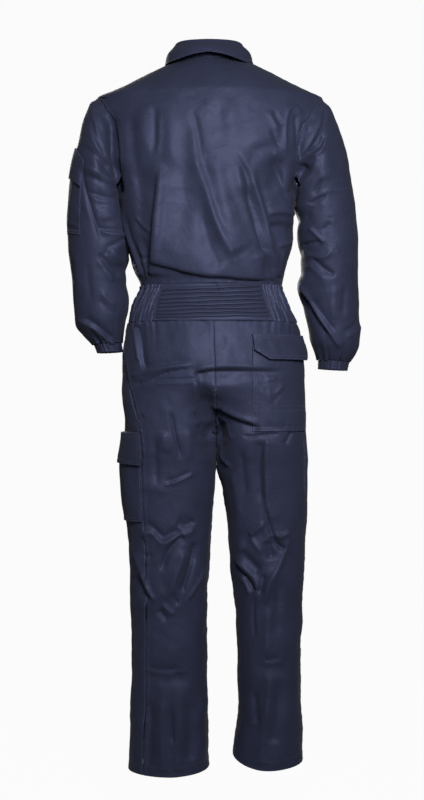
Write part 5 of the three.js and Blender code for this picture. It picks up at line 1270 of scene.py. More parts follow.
def add_node(tree, kind, settings=None, links=None):
    node = tree.nodes.new(kind)
    for key, value in (settings or {}).items():
        if isinstance(key, str) and hasattr(node, key):
            setattr(node, key, value)
        else:
            node.inputs[key].default_value = value
    for key, source in (links or {}).items():
        tree.links.new(source, node.inputs[key])
    return node


def noise(tree, scale, detail, **settings):
    """Soft spots in the piece's own space, in metres."""
    place = add_node(tree, "ShaderNodeTexCoord")
    settings = {"Scale": scale, "Detail": detail, **settings}
    node = add_node(tree, "ShaderNodeTexNoise", settings, {"Vector": place.outputs["Object"]})
    return node.outputs["Fac"]


def tones(tree, source, colour, dark, light, low=0.0, high=1.0):
    """Darker to lighter shares of a colour, as the source goes from low to high."""
    node = add_node(tree, "ShaderNodeValToRGB", links={"Fac": source})
    for element, place, share in zip(node.color_ramp.elements, (low, high), (dark, light)):
        element.position = place
        element.color = (*[v * share for v in linear(colour)[:3]], 1)
    return node.outputs["Color"]


def bump(tree, height, strength, distance, **links):
    settings = {"Strength": strength, "Distance": distance}
    return add_node(tree, "ShaderNodeBump", settings, {"Height": height, **links}).outputs["Normal"]


def waves(tree, direction, spacing, settings, place):
    """Straight bands in the flat cut, a spacing apart in metres."""
    settings["Scale"] = WAVE_SCALE / spacing
    bands = {"wave_type": "BANDS", "bands_direction": direction, **settings}
    return add_node(tree, "ShaderNodeTexWave", bands, {"Vector": place}).outputs["Fac"]


def product(tree, a, b):
    node = add_node(tree, "ShaderNodeMath", {"operation": "MULTIPLY"}, {0: a})
    if isinstance(b, float):
        node.inputs[1].default_value = b
    else:
        tree.links.new(b, node.inputs[1])
    return node.outputs["Value"]


def shared_material(name, surface, *colour_codes):
    """The material of this name, built the first time that it is asked for."""
    material = bpy.data.materials.get(name)
    if not material:
        material = bpy.data.materials.new(name)
        material.use_nodes = True
        tree = material.node_tree
        tree.nodes.clear()
        add_node(tree, "ShaderNodeOutputMaterial", links={"Surface": surface(tree, *colour_codes)})
    return material


# A wave texture of scale 1 has its bands this far apart
WAVE_SCALE = 2 * math.pi / 20
# Twill ribs are 0.8 mm apart in the cloth and zip threads 0.5 mm: both are drawn twice as far apart
# so that they show
RIB_SPACING = 0.0016
RIB_ANGLE = -58
THREAD_SPACING = 0.001


def twill_surface(tree, colour, worn_colour):
    """Polyester and cotton twill, piece dyed and pressed: a soft satin sheen over fine diagonal ribs."""
    cut = add_node(tree, "ShaderNodeUVMap", {"uv_map": "Cut"})
    turned = add_node(tree, "ShaderNodeMapping", {"Rotation": (0, 0, math.radians(RIB_ANGLE))},
                      {"Vector": cut.outputs["UV"]})
    ribs = waves(tree, "X", RIB_SPACING, {"Distortion": 0.6, "Detail": 1.0, "Detail Scale": 2.0},
                 turned.outputs["Vector"])
    # Slubs, rubbed places and uneven dye, from a few millimetres to a hand's width
    slub = noise(tree, 260.0, 3.0, Roughness=0.6)
    rub = noise(tree, 48.0, 4.0, Roughness=0.65)
    cloud = noise(tree, 11.0, 4.0, Roughness=0.55)
    dyed = tones(tree, cloud, colour, 0.9, 1.1, 0.3, 0.72)
    multiply = {"data_type": "RGBA", "blend_type": "MULTIPLY"}
    grains = add_node(tree, "ShaderNodeMix", {**multiply, "Factor": 0.35}, {"A": dyed, "B": slub})
    lifted = add_node(tree, "ShaderNodeMix", {**multiply, "Factor": 1.0, "B": (1.2, 1.2, 1.2, 1)},
                      {"A": grains.outputs["Result"]})
    # Edges and seams are rubbed paler, in patches
    worn = add_node(tree, "ShaderNodeAttribute", {"attribute_name": "worn"})
    rubbed = product(tree, product(tree, worn.outputs["Fac"], rub), 0.45)
    mixed = add_node(tree, "ShaderNodeMix", {"data_type": "RGBA", "B": linear(worn_colour)},
                     {"Factor": rubbed, "A": lifted.outputs["Result"]})
    # Small dents a few centimetres across, under the ribs
    crush = bump(tree, noise(tree, 30.0, 5.0, Roughness=0.6, Distortion=0.8), 0.8, 0.0022)
    normal = bump(tree, ribs, 0.35, 0.00012, Normal=crush)
    span = {"From Min": 0.3, "From Max": 0.7, "To Min": 0.49, "To Max": 0.57}
    rough = add_node(tree, "ShaderNodeMapRange", span, {"Value": cloud})
    settings = {"Specular IOR Level": 0.22, "Specular Tint": linear("#bcc2f4"), "Sheen Weight": 0.02}
    links = {"Base Color": mixed.outputs["Result"], "Roughness": rough.outputs["Result"], "Normal": normal}
    return add_node(tree, "ShaderNodeBsdfPrincipled", settings, links).outputs["BSDF"]


def thread_surface(tree, colour):
    """Spun polyester thread, a little lighter and shinier than the cloth it lies in."""
    strands = tones(tree, noise(tree, 900.0, 2.0), colour, 0.75, 1.25)
    settings = {"Roughness": 0.5, "Sheen Weight": 0.2}
    return add_node(tree, "ShaderNodeBsdfPrincipled", settings, {"Base Color": strands}).outputs["BSDF"]


def tape_surface(tree, colour):
    """Woven zip tape: matt, with fine cross threads."""
    cut = add_node(tree, "ShaderNodeUVMap", {"uv_map": "Cut"})
    threads = waves(tree, "Y", THREAD_SPACING, {"Distortion": 0.4}, cut.outputs["UV"])
    links = {"Base Color": tones(tree, threads, colour, 0.7, 1.15),
             "Normal": bump(tree, threads, 0.4, 0.0001)}
    return add_node(tree, "ShaderNodeBsdfPrincipled", {"Roughness": 0.75}, links).outputs["BSDF"]


def brass_surface(tree, colour):
    """Die-cast and tumbled brass: warm, softly polished, a little dull in patches."""
    tarnish = noise(tree, 240.0, 4.0)
    rough = add_node(tree, "ShaderNodeMapRange", {"To Min": 0.28, "To Max": 0.48}, {"Value": tarnish})
    links = {"Base Color": tones(tree, tarnish, colour, 0.72, 1.1), "Roughness": rough.outputs["Result"],
             "Normal": bump(tree, tarnish, 0.2, 0.00008)}
    return add_node(tree, "ShaderNodeBsdfPrincipled", {"Metallic": 1.0}, links).outputs["BSDF"]


def studio_surface(tree, colour):
    """Matt painted board that curves up behind: the camera sees it evenly bright, with a faint shadow."""
    settings = {"Base Color": (0.45, 0.45, 0.45, 1.0), "Roughness": 0.85}
    board = add_node(tree, "ShaderNodeBsdfPrincipled", settings,
                     {"Normal": bump(tree, noise(tree, 40.0, 3.0), 0.05, 0.0004)})
    path = add_node(tree, "ShaderNodeLightPath")
    share = product(tree, path.outputs["Is Camera Ray"], 0.96)
    glow = add_node(tree, "ShaderNodeEmission", {"Color": linear(colour), "Strength": 1.0})
    links = {0: share, 1: board.outputs["BSDF"], 2: glow.outputs["Emission"]}
    return add_node(tree, "ShaderNodeMixShader", links=links).outputs["Shader"]


# Sizes and colours that a user would change

def millimetres(name, description, default, low, high):
    return bpy.props.FloatProperty(name=name, description=description + ", in millimetres",
                                   default=default, min=low, max=high)


def metres(name, description, default):
    return bpy.props.FloatProperty(name=name, description=description, default=default, unit="LENGTH")


def hex_colour(name, description, default):
    return bpy.props.StringProperty(name=name, description=description + ", sRGB hex", default=default)


class SuitSizes(bpy.types.PropertyGroup):
    cell: millimetres("Mesh spacing", "Distance between the points of the cloth", 3.4, 2.5, 12.0)
    stitch_pitch: millimetres("Stitch pitch", "Distance from one stitch to the next", 4.0, 2.0, 8.0)
    stitch_length: millimetres("Stitch length", "Length of the thread of one stitch", 2.9, 1.0, 6.0)
    stitch_width: millimetres("Thread width", "Width of the thread", 0.75, 0.3, 2.0)
    camera_distance: metres("Camera distance", "From the camera to the suit's middle", CAMERA_DISTANCE * MM)
    frame_height: metres("Frame height", "What the picture takes in at the suit's middle", 1.734)


class SuitColours(bpy.types.PropertyGroup):
    twill: hex_colour("Twill", "Dyed cloth", "#242738")
    worn: hex_colour("Worn edges", "Rubbed cloth", "#353852")
    thread: hex_colour("Thread", "Sewing thread", "#27293f")
    tape: hex_colour("Zip tape", "Woven tape", "#1c1f33")
    brass: hex_colour("Brass", "Zip metal", "#b08d4c")
    floor: hex_colour("Floor", "Studio floor", "#ffffff")


def sizes():
    return bpy.context.scene.suit_sizes


def colours():
    return bpy.context.scene.suit_colours


def twill():
    return shared_material("Navy polyester-cotton twill", twill_surface, colours().twill, colours().worn)


class SuitPiece:
    bl_options = {"REGISTER"}


# Bands where the rows of a grid lie closer: top, bottom and number of rows
NECK_BAND = (NECK_Z, -12, 7)
SHOULDER_BAND = (-66, -84, 7)
FRONT_SHOULDER_BAND = (-60, -84, 9)
CROTCH_BAND = (-788, -816, 11)
# Lengths that the numbers of rows and columns are worked out from
BACK_LENGTH = 490
BACK_WIDTH = 560
FRONT_LENGTH = 478
FRONT_WIDTH = 250
TROUSER_BACK_WIDTH = 300
TROUSER_FRONT_WIDTH = 320
# The back's top edge runs up inside the collar
UNDER_COLLAR = [(0, 0.2, 1.4), (0, -2.4, 6.4)]


def levels(top, bottom, length, *bands):
    """Heights of a grid's rows from the top down, a cell apart and closer in some bands."""
    z = top + (bottom - top) * spaced(length, sizes().cell)
    return np.unique(np.concatenate([z] + [np.linspace(*band) for band in bands]))[::-1]


def body_cloth(turn, z):
    points = torso_point(turn, z)
    return Cloth(points, turned_out(points, BODY_AXIS))


class SUIT_OT_back(SuitPiece, bpy.types.Operator):
    """Makes the back of the bodice, bloused over the waist"""
    bl_idname = "suit.back"
    bl_label = "Back bodice"

    def execute(self, context):
        z = levels(NECK_Z, WAIST_Z, BACK_LENGTH, NECK_BAND, SHOULDER_BAND)
        u = spaced(BACK_WIDTH, sizes().cell) * 2 - 1
        rows, columns = np.meshgrid(z, u, indexing="ij")
        cloth = body_cloth(columns * bodice_edge(rows, 1), rows)
        cloth.crumple(("back",), 11)
        cloth.seam("bottom", "plain", 21)
        cloth.seam("start", "felled", 22)
        cloth.seam("end", "felled", 23)
        cloth.seam("top", "plain", 24)
        droop(cloth)
        cloth.renew_normals()
        edges = {"start": ALLOWANCE, "end": ALLOWANCE, "bottom": ALLOWANCE, "top": UNDER_COLLAR}
        make_cloth("back_bodice", cloth, edges)
        stitches = seam_rows(cloth, {"start": FELLED_ROWS, "end": FELLED_ROWS, "bottom": PLAIN_ROW})
        stitch_object("back_bodice_stitching", stitches)
        return {"FINISHED"}


def droop(cloth):
    """The bloused fold hangs a little below its own line."""
    x, z = cloth.base[..., 0], cloth.base[..., 2]
    above = z - BLOUSE_LINE(x)
    spread = (1 - smooth(np.abs(x - BLOUSE_MIDDLE_X), 105, 150)) * smooth(cloth.base[..., 1], 0, 40)
    cloth.points[..., 2] -= BLOUSE_DROOP * spread * np.exp(-((above - 3) / 11.0) ** 2)


class SUIT_OT_fronts(SuitPiece, bpy.types.Operator):
    """Makes the two fronts of the bodice"""
    bl_idname = "suit.fronts"
    bl_label = "Front bodice"

    def execute(self, context):
        for name, sign in SIGNS.items():
            z = levels(0.0, WAIST_Z, FRONT_LENGTH, FRONT_SHOULDER_BAND)
            rows, columns = np.meshgrid(z, spaced(FRONT_WIDTH, sizes().cell), indexing="ij")
            turn = sign * mix(bodice_edge(rows, -1), front_turn(sign, rows), columns)
            cloth = body_cloth(turn, rows)
            cloth.crumple(("front",), 31 + int(sign))
            cloth.seam("bottom", "plain", 41)
            cloth.seam("start", "felled", 42)
            cloth.seam("end", "plain", 43)
            cloth.renew_normals()
            piece = "front_bodice_" + name
            edges = {"start": ALLOWANCE, "bottom": ALLOWANCE, "end": turning(1.5, 5), "top": ALLOWANCE}
            make_cloth(piece, cloth, edges)
            stitches = seam_rows(cloth, {"start": FELLED_ROWS, "end": (3.0,), "bottom": PLAIN_ROW})
            stitch_object(piece + "_stitching", stitches)
        return {"FINISHED"}


# Collar

def neck_line(cell):
    """The neckline of the bodice from the right front by the back to the left front, with normals."""
    dip_z = NECK_Z - NECK_DROP * np.sin(np.linspace(0, np.pi / 2, 60))
    right, left = -front_turn(-1.0, dip_z), front_turn(1.0, dip_z)
    back = np.linspace(-np.pi / 2, np.pi / 2, 120)[1:-1]
    turn = np.concatenate([right[::-1], back, left])
    z = np.concatenate([dip_z[::-1], np.full(len(back), NECK_Z), dip_z])
    points = torso_point(turn, z)
    normals = body_normal(turn, z)
    normals = normals * np.sign(np.sum((points - COLLAR_MIDDLE) * normals, axis=-1, keepdims=True))
    run = line_run(points)
    marks = run[-1] * spaced(run[-1], cell)
    return sampled(marks, run, points), unit(sampled(marks, run, normals))


def shoulder_height(x, y):
    """The height at which the body's surface passes over a place, found by halving."""
    above, below = np.full(x.shape, 20.0), np.full(x.shape, -250.0)
    for _ in range(30):
        z = (above + below) / 2
        middle = MIDDLE(z)
        across = np.minimum(1, np.abs(x - middle) / half_width(x - middle, z))
        side = TORSO["side"](z)
        depth = np.where(y > side, TORSO["back"](z), TORSO["front"](z)) - side
        reach = depth * (1 - across ** 2) ** (TORSO["corner"](z) / 2)
        inside = (across < 1) & (np.abs(y - side) < np.abs(reach))
        below = np.where(inside, z, below)
        above = np.where(inside, above, z)
    return below


def collar_lines(cell):
    """Lines of the stand's foot and top, the ways up and out, the turn round the neck and the side."""
    point, normal = neck_line(cell)
    away = point - COLLAR_MIDDLE
    away[:, 2] = 0
    turn = np.abs(np.degrees(np.arctan2(away[:, 0], away[:, 1])))
    outward = unit(away)
    up = unit(np.array((0.0, 0.0, 1.0)) - outward * COLLAR["lean"](turn)[:, None])
    facing = unit(outward - up * np.sum(outward * up, -1, keepdims=True))
    foot = point + normal * 0.95 + up * 0.5
    top = foot + up * (COLLAR["stand"](turn) - 1.5)[:, None]
    side = np.where(np.arange(len(point)) < (len(point) - 1) / 2, -1.0, 1.0)
    return foot, top, up, facing, turn, side


STAND_HEIGHT = 37
FALL_HEIGHT = 52
# The stand's rows run up from its foot, so its first side is the foot, which reaches below the neckline
BELOW_FOOT = [(0, 0.4, 2.0), (0, 0.2, 4.2)]
# Shares of the way from the fold to the fall's edge where its shape is given, and the share that
# the turn over the stand takes up
FALL_PLACES = np.array((0.0, 0.035, 0.07, 0.13, 0.55, 1.0))
FALL_TURN = 0.14
COLLAR_STITCHES = 6.0


class SUIT_OT_collar(SuitPiece, bpy.types.Operator):
    """Makes the collar: its stand and the fall that turns down over it"""
    bl_idname = "suit.collar"
    bl_label = "Collar"

    def execute(self, context):
        cell = min(3.4, sizes().cell)
        lines = collar_lines(cell)
        self.stand(cell, *lines[:2], lines[3])
        self.fall(cell, *lines[1:])
        return {"FINISHED"}

    def stand(self, cell, foot, top, facing):
        shares = spaced(STAND_HEIGHT, cell)
        points = foot[None] + (top - foot)[None] * shares[:, None, None]
        cloth = Cloth(points, np.repeat(facing[None], len(shares), 0))
        cloth.press(0.4 * unevenness(cloth.base, 40, 51))
        cloth.seam("bottom", "plain", 52)
        edges = {"start": turning(1.5, 3), "end": turning(1.5, 3), "top": BELOW_FOOT}
        make_cloth("collar_stand", cloth, edges)

    def fall(self, cell, top, up, facing, turn, side):
        along = unit(np.gradient(top, axis=0))
        rise = unit(up - along * np.sum(up * along, -1, keepdims=True))
        edge = stack(COLLAR_MIDDLE[0] + side * COLLAR["edgeX"](turn), COLLAR["edgeY"](turn), 0 * turn)
        height = shoulder_height(edge[:, 0], edge[:, 1]) + COLLAR["clear"](turn)
        edge[:, 2] = np.maximum(COLLAR["low"](turn), height)
        over = top + rise * (OUTER + 0.5)
        crown = top + rise * (OUTER + 1.2) + facing * 1.7
        rolled = top + rise * (OUTER - 0.2) + facing * 3.6
        outside = top + facing * COLLAR["reach"](turn)[:, None] - rise * 3
        belly = mix(outside, edge, 0.5) + facing * 5
        marks = np.stack([over, crown, rolled, outside, belly, edge])
        below = FALL_TURN + (1 - FALL_TURN) * spaced(FALL_HEIGHT, cell)
        shares = np.unique(np.concatenate([np.linspace(0, FALL_TURN, 7), below]))
        points = np.zeros((len(shares), len(top), 3))
        for k in range(len(top)):
            for axis in range(3):
                points[:, k, axis] = Track(FALL_PLACES, marks[:, k, axis])(shares)
        normals = grid_normals(points)
        cloth = Cloth(points, normals * np.sign(np.sum(normals[-4] * facing)))
        cloth.press(OUTER + 0.7 * unevenness(cloth.base, 60, 53) * smooth(cloth.edges["top"], 8, 25))
        border = cloth.border("bottom", "start", "end")
        ridge = 0.25 * np.exp(-((border - 2.6) / 2.0) ** 2)
        cloth.press(-0.7 * np.exp(-((border - COLLAR_STITCHES) / 1.6) ** 2) + ridge)
        cloth.worn = np.exp(-border / 2.5)
        cloth.renew_normals()
        edges = {"start": turning(1.6, 5), "end": turning(1.6, 5), "bottom": turning(1.6, 6)}
        make_cloth("collar_fall", cloth, edges)
        rows = seam_rows(cloth, {side: (COLLAR_STITCHES,) for side in ("start", "end", "bottom")})
        stitch_object("collar_stitching", rows)


# Sleeves and cuffs

def sleeve_cloth(name, rings, turns):
    rows, columns = np.meshgrid(rings, turns, indexing="ij")
    points = sleeve_point(name, rows, columns)
    far = np.maximum(rows, 1)
    centre = (sleeve_ring(name, far, 0 * columns) + sleeve_ring(name, far, 0 * columns + np.pi)) / 2
    return Cloth(points, turned_out(points, centre, closed=True), closed=True), rows, columns


def sleeve_rings(name):
    """Ring numbers spaced about a cell apart along the middle of the sleeve's back."""
    fine = np.linspace(0, CUFF_RING, 900)
    run = line_run(sleeve_point(name, fine, np.full_like(fine, np.pi / 2)))
    return np.interp(spaced(run[-1], sizes().cell) * run[-1], run, fine)


def gathers(at, waves_in, draw):
    """Waves with a random start each: waves_in gives how many go round, and their height."""
    wave = np.zeros_like(at)
    for count, weight in waves_in:
        wave = wave + weight * np.sin(count * at + draw.uniform(0, 6.28))
    return wave


SLEEVE_GATHERS = ((11, 0.7), (17, 0.8), (26, 0.45))
CUFF_GATHERS = ((18, 0.7), (23, 0.6), (31, 0.4))
# Slanting folds round the inside of the elbow: ring number, spread in rings, and lift
ELBOW_HOOPS = ((7.6, 0.35, 1.6), (8.5, 0.3, -2.0), (9.2, 0.4, 1.8), (10.2, 0.4, -1.6))
# Where the sleeve's inner side lies against the body: how far it reaches, and its lower end
UNDERARM_FOLD = {"left": (18, -396), "right": (17, -322)}
# Seeds of the sleeve's creases, of its gathers and of its cuff's gathers
SLEEVE_SEEDS = {"left": (61, 5, 81), "right": (71, 6, 82)}
ELASTIC_SHARES = (0.3, 0.68)


def sleeve_shape(name, cloth, around, rings):
    """Everything that bends a sleeve's cloth: armhole roll, creases, cuff gathers and elbow folds."""
    crumple_seed, gather_seed, _ = SLEEVE_SEEDS[name]
    cloth.press(1.5 * np.exp(-cloth.edges["top"] / 9) * smooth(np.cos(around), 0.2, 0.9))
    z = cloth.base[..., 2]
    lift, foot = UNDERARM_FOLD[name]
    level = (1 - smooth(z, -262, -232)) * smooth(z, foot - 18, foot + 14)
    cloth.press(lift * level * smooth(-np.cos(around), 0.3, 0.95))
    cloth.crumple(("sleeve_" + name,), crumple_seed)
    wave = gathers(around, SLEEVE_GATHERS, np.random.default_rng(gather_seed))
    cloth.press(2.0 * wave * np.exp(-cloth.edges["bottom"] / 26.0))
    hoops = np.zeros_like(around)
    for middle, spread, height in ELBOW_HOOPS:
        slope = middle + 0.45 * np.cos(around + 0.6)
        hoops = hoops + height * np.exp(-(((rings - slope) / spread) ** 2))
    cloth.press(hoops * smooth(-np.cos(around), -0.3, 0.8) * 0.9)


class SUIT_OT_sleeves(SuitPiece, bpy.types.Operator):
    """Makes both sleeves"""
    bl_idname = "suit.sleeves"
    bl_label = "Sleeves"

    def execute(self, context):
        for name in SIGNS:
            turns = np.linspace(0, 2 * np.pi, round(430 / sizes().cell), endpoint=False)
            cloth, rings, around = sleeve_cloth(name, sleeve_rings(name), turns)
            sleeve_shape(name, cloth, around, rings)
            cloth.seam("top", "plain", 62)
            cloth.seam("bottom", "plain", 63)
            cloth.renew_normals()
            make_cloth("sleeve_" + name, cloth, {"top": ALLOWANCE, "bottom": ALLOWANCE})
            stitch_object("sleeve_" + name + "_stitching", seam_rows(cloth, {"bottom": (2.4,)}))
        return {"FINISHED"}


class SUIT_OT_cuffs(SuitPiece, bpy.types.Operator):
    """Makes both cuffs, gathered by their elastic"""
    bl_idname = "suit.cuffs"
    bl_label = "Cuffs"

    def execute(self, context):
        for name in SIGNS:
            turns = np.linspace(0, 2 * np.pi, 150, endpoint=False)
            shares = spaced(CUFF_DROP, 2.4, fine=False)
            rows, columns = np.meshgrid(shares, turns, indexing="ij")
            points = cuff_point(name, rows, columns)
            cloth = Cloth(points, turned_out(points, points.mean((0, 1)), closed=True), closed=True)
            wave = gathers(columns, CUFF_GATHERS, np.random.default_rng(SLEEVE_SEEDS[name][2]))
            cloth.press(OUTER + 0.9 * wave)
            for share in ELASTIC_SHARES:
                cloth.groove((rows - share) * CUFF_DROP, 0.7, 1.6)
            cloth.renew_normals()
            cloth.worn = np.exp(-cloth.edges["bottom"] / 2.5)
            edges = {"top": HALF_ALLOWANCE, "bottom": turning(1.6, 4)}
            make_cloth("cuff_" + name, cloth, edges)
            stitches = []
            for row in (2, 5):
                line = np.vstack([cloth.points[row], cloth.points[row][:1]])
                up = np.vstack([cloth.normals[row], cloth.normals[row][:1]])
                stitches.append(stitches_along(line, up))
            stitch_object("cuff_" + name + "_stitching", stitches)
        return {"FINISHED"}


# Back waist

# Height of each tuck's lower edge, from the left end by the middle to the right end
TUCK_LINES = [
    # (left, middle, right)
    (-496, -491, -486),
    (-504, -500, -496),
    (-514, -509, -505),
    (-523, -518, -514),
    (-531, -527, -523),
    (-539, -535, -532),
    (-546, -543, -541),
    (-553, -551, -550),
]
# Shape of one tuck: share of the way down to its lower edge, and share of its rise
TUCK_STEPS = ((0.03, 0.0), (0.14, 0.3), (0.35, 0.68), (0.6, 0.95), (0.8, 1.0), (0.93, 0.8), (0.99, 0.15))
TUCK_RISE = 4.4


PANEL_WIDTH = 250
WAIST_SIDE_WIDTH = 115
WAIST_SIDE_DEPTH = 80
ELASTIC_LEVELS = (-488, -502, -517, -532)
FULLEST_Z = -500
# Gathers of the waist's sides: distance from one to the next, and height
SIDE_GATHERS = ((13, 0.8), (9, 0.6), (21, 0.6))
ALL_ROUND = {side: ALLOWANCE for side in SIDES}


def panel_levels(u):
    """Heights and lifts of the panel's lines of points, from the waist seam down over the tucks."""
    flat = np.ones(len(u))
    lines, lifts = [WAIST_Z * flat, (WAIST_Z - 3.5) * flat], [0 * flat, 0.5 * flat]
    ease = smooth(u, 0.02, 0.06) * (1 - smooth(u, 0.94, 0.98))
    # Columns run from the wearer's right to the left, and the rows of the table from left to right
    tucks = [np.interp(u, (0, 0.5, 1), ends[::-1]) for ends in TUCK_LINES]
    previous = tucks[0] + 7
    for share in (0.35, 0.8):
        lines.append(mix(lines[1], previous, share))
        lifts.append(0.8 * flat)
    for k, level in enumerate(tucks):
        level = level + 0.7 * np.sin(u * 9 + k * 1.7) + 0.4 * np.sin(u * 23 + k)
        for share, height in TUCK_STEPS:
            lines.append(mix(previous, level, share))
            lifts.append(TUCK_RISE * height * ease + 0.4)
        previous = level
    for share in (0.2, 0.6, 1.0):
        lines.append(mix(previous, WAIST_END_Z * flat, share))
        lifts.append((0.5 if share < 1 else 0.0) * flat)
    return np.array(lines), np.array(lifts)


class SUIT_OT_waist(SuitPiece, bpy.types.Operator):
    """Makes the tucked panel at the back of the waist and the gathered sides"""
    bl_idname = "suit.waist"
    bl_label = "Back waist"

    def execute(self, context):
        self.panel(spaced(PANEL_WIDTH, min(3.6, sizes().cell)))
        for name, sign in SIGNS.items():
            self.side(name, sign, spaced(WAIST_SIDE_WIDTH, min(2.2, sizes().cell)))
        return {"FINISHED"}

    def panel(self, u):
        z, lift = panel_levels(u)
        turn = np.radians(PANEL_TURN) * (2 * u - 1)
        cloth = body_cloth(np.repeat(turn[None], len(z), 0), z)
        points, normals = cloth.base, cloth.normals
        sag = 1.2 * np.exp(-((u - 0.48) / 0.1) ** 2)
        cloth.press(OUTER + lift + 0.5 * unevenness(points, 70, 91) - sag[None] * smooth(z, -520, -490))
        cloth.press(crease_field(points, normals, ("waist",)))
        for side in ("start", "end"):
            cloth.groove(cloth.edges[side], 0.8, 1.6)
            cloth.groove(cloth.edges[side] - 7, 0.6, 1.4)
        cloth.renew_normals()
        make_cloth("waistband_back", cloth, ALL_ROUND)
        stitches = seam_rows(cloth, {"start": (2.6, 8.0), "end": (2.6, 8.0)})
        stitch_object("waistband_stitching", stitches)

    def side(self, name, sign, u):
        z = WAIST_Z + (WAIST_END_Z - WAIST_Z) * spaced(WAIST_SIDE_DEPTH, 3.0)
        rows, columns = np.meshgrid(z, u, indexing="ij")
        cloth = body_cloth(sign * np.radians(mix(PANEL_TURN, 90, columns)), rows)
        draw = np.random.default_rng(101 if sign > 0 else 102)
        run = columns * WAIST_SIDE_WIDTH
        wave = np.zeros_like(run)
        lean = 0.12 * sign * (rows - WAIST_Z)
        for length, weight in SIDE_GATHERS:
            start = draw.uniform(0, 6.28)
            wander = 0.9 * np.sin(rows / 19.0 + length)
            wave = wave + weight * np.sin((run + lean) * 2 * np.pi / length + start + wander)
        fullest = np.exp(-(((rows - FULLEST_Z) / 34) ** 2))
        deep = smooth(cloth.border("start", "end"), 1, 9) * (0.45 + 0.55 * fullest)
        cloth.press(OUTER + 2.5 * wave * deep)
        for level in ELASTIC_LEVELS:
            cloth.groove(rows - level, 0.9, 1.8)
        for side in SIDES:
            cloth.seam(side, "plain", 103)
        cloth.renew_normals()
        piece = "waist_side_" + name
        make_cloth(piece, cloth, ALL_ROUND)
        stitches = []
        for level in ELASTIC_LEVELS:
            row = int(np.argmin(np.abs(z - level)))
            stitches.append(stitches_along(cloth.points[row], cloth.normals[row]))
        stitches += seam_rows(cloth, {"start": (2.4,)})
        stitch_object(piece + "_stitching", stitches)


# Trousers

THIGH_AXIS_X = 60.0
LEG_AXIS_X = 100.0


def trouser_cloth(name, rows, columns):
    points = trouser_point(name, columns, rows)
    axis_x = SIGNS[name] * np.where(rows < THIGH_Z, LEG_AXIS_X, THIGH_AXIS_X)
    return Cloth(points, turned_out(points, stack(axis_x, 0, 0)))


def leg_gathers(cloth, rows, sign, seed):
    """Small tucks that run down from the gathered sides of the waist."""
    x = cloth.base[..., 0] * sign
    down = WAIST_END_Z - rows
    draw = np.random.default_rng(seed)
    wave = np.zeros_like(x)
    for length, weight in LEG_GATHERS:
        wave = wave + weight * np.sin(x * 2 * np.pi / length + draw.uniform(0, 6.28) + down / 40)
    wave = wave * smooth(x, 95, 125) * np.exp(-np.maximum(down, 0) / 24)
    cloth.press(1.5 * wave * (down > -1))


# Tucks below the waist's sides: distance from one to the next, and height
LEG_GATHERS = ((15, 0.8), (24, 0.7), (11, 0.4))
# Where the two legs touch: heights between which they do, eased in and out, how far each may move,
# how much further it may once past two more heights, how wide the pull is, and the gap that is left
TOUCH_LOW = (-890, -862)
TOUCH_HIGH = (-730, -700)
TOUCH_MOVE = 6
TOUCH_MORE = 14
TOUCH_MORE_LEVELS = (-858, -820)
TOUCH_WIDTH = 9
TOUCH_GAP = 0.25
HEM_STITCH = 20.0


def close_crotch(cloth, sign):
    """Lets the two legs touch between the crotch and the upper thigh."""
    z = cloth.base[..., 2]
    away = sign * (cloth.points[..., 0] - MIDDLE(z))
    nearest = away.min(1, keepdims=True)
    gap = np.clip(nearest - TOUCH_GAP, 0, TOUCH_MOVE + TOUCH_MORE * smooth(z, *TOUCH_MORE_LEVELS))
    level = smooth(z, *TOUCH_LOW) * (1 - smooth(z, *TOUCH_HIGH))
    near = np.exp(-(((away - nearest) / (TOUCH_WIDTH + gap)) ** 2))
    cloth.points[..., 0] -= sign * gap * level * near


def beside_zip(name, rows, columns):
    """Columns of a trouser front, drawn in to the zip's edge as far down as it goes."""
    edge = 2 - (2 / np.pi) * np.arcsin(ZIP_HALF / half_width(SIGNS[name], rows))
    return np.where(rows > ZIP_END_Z - 4, 1 + (columns - 1) * (edge - 1), columns)


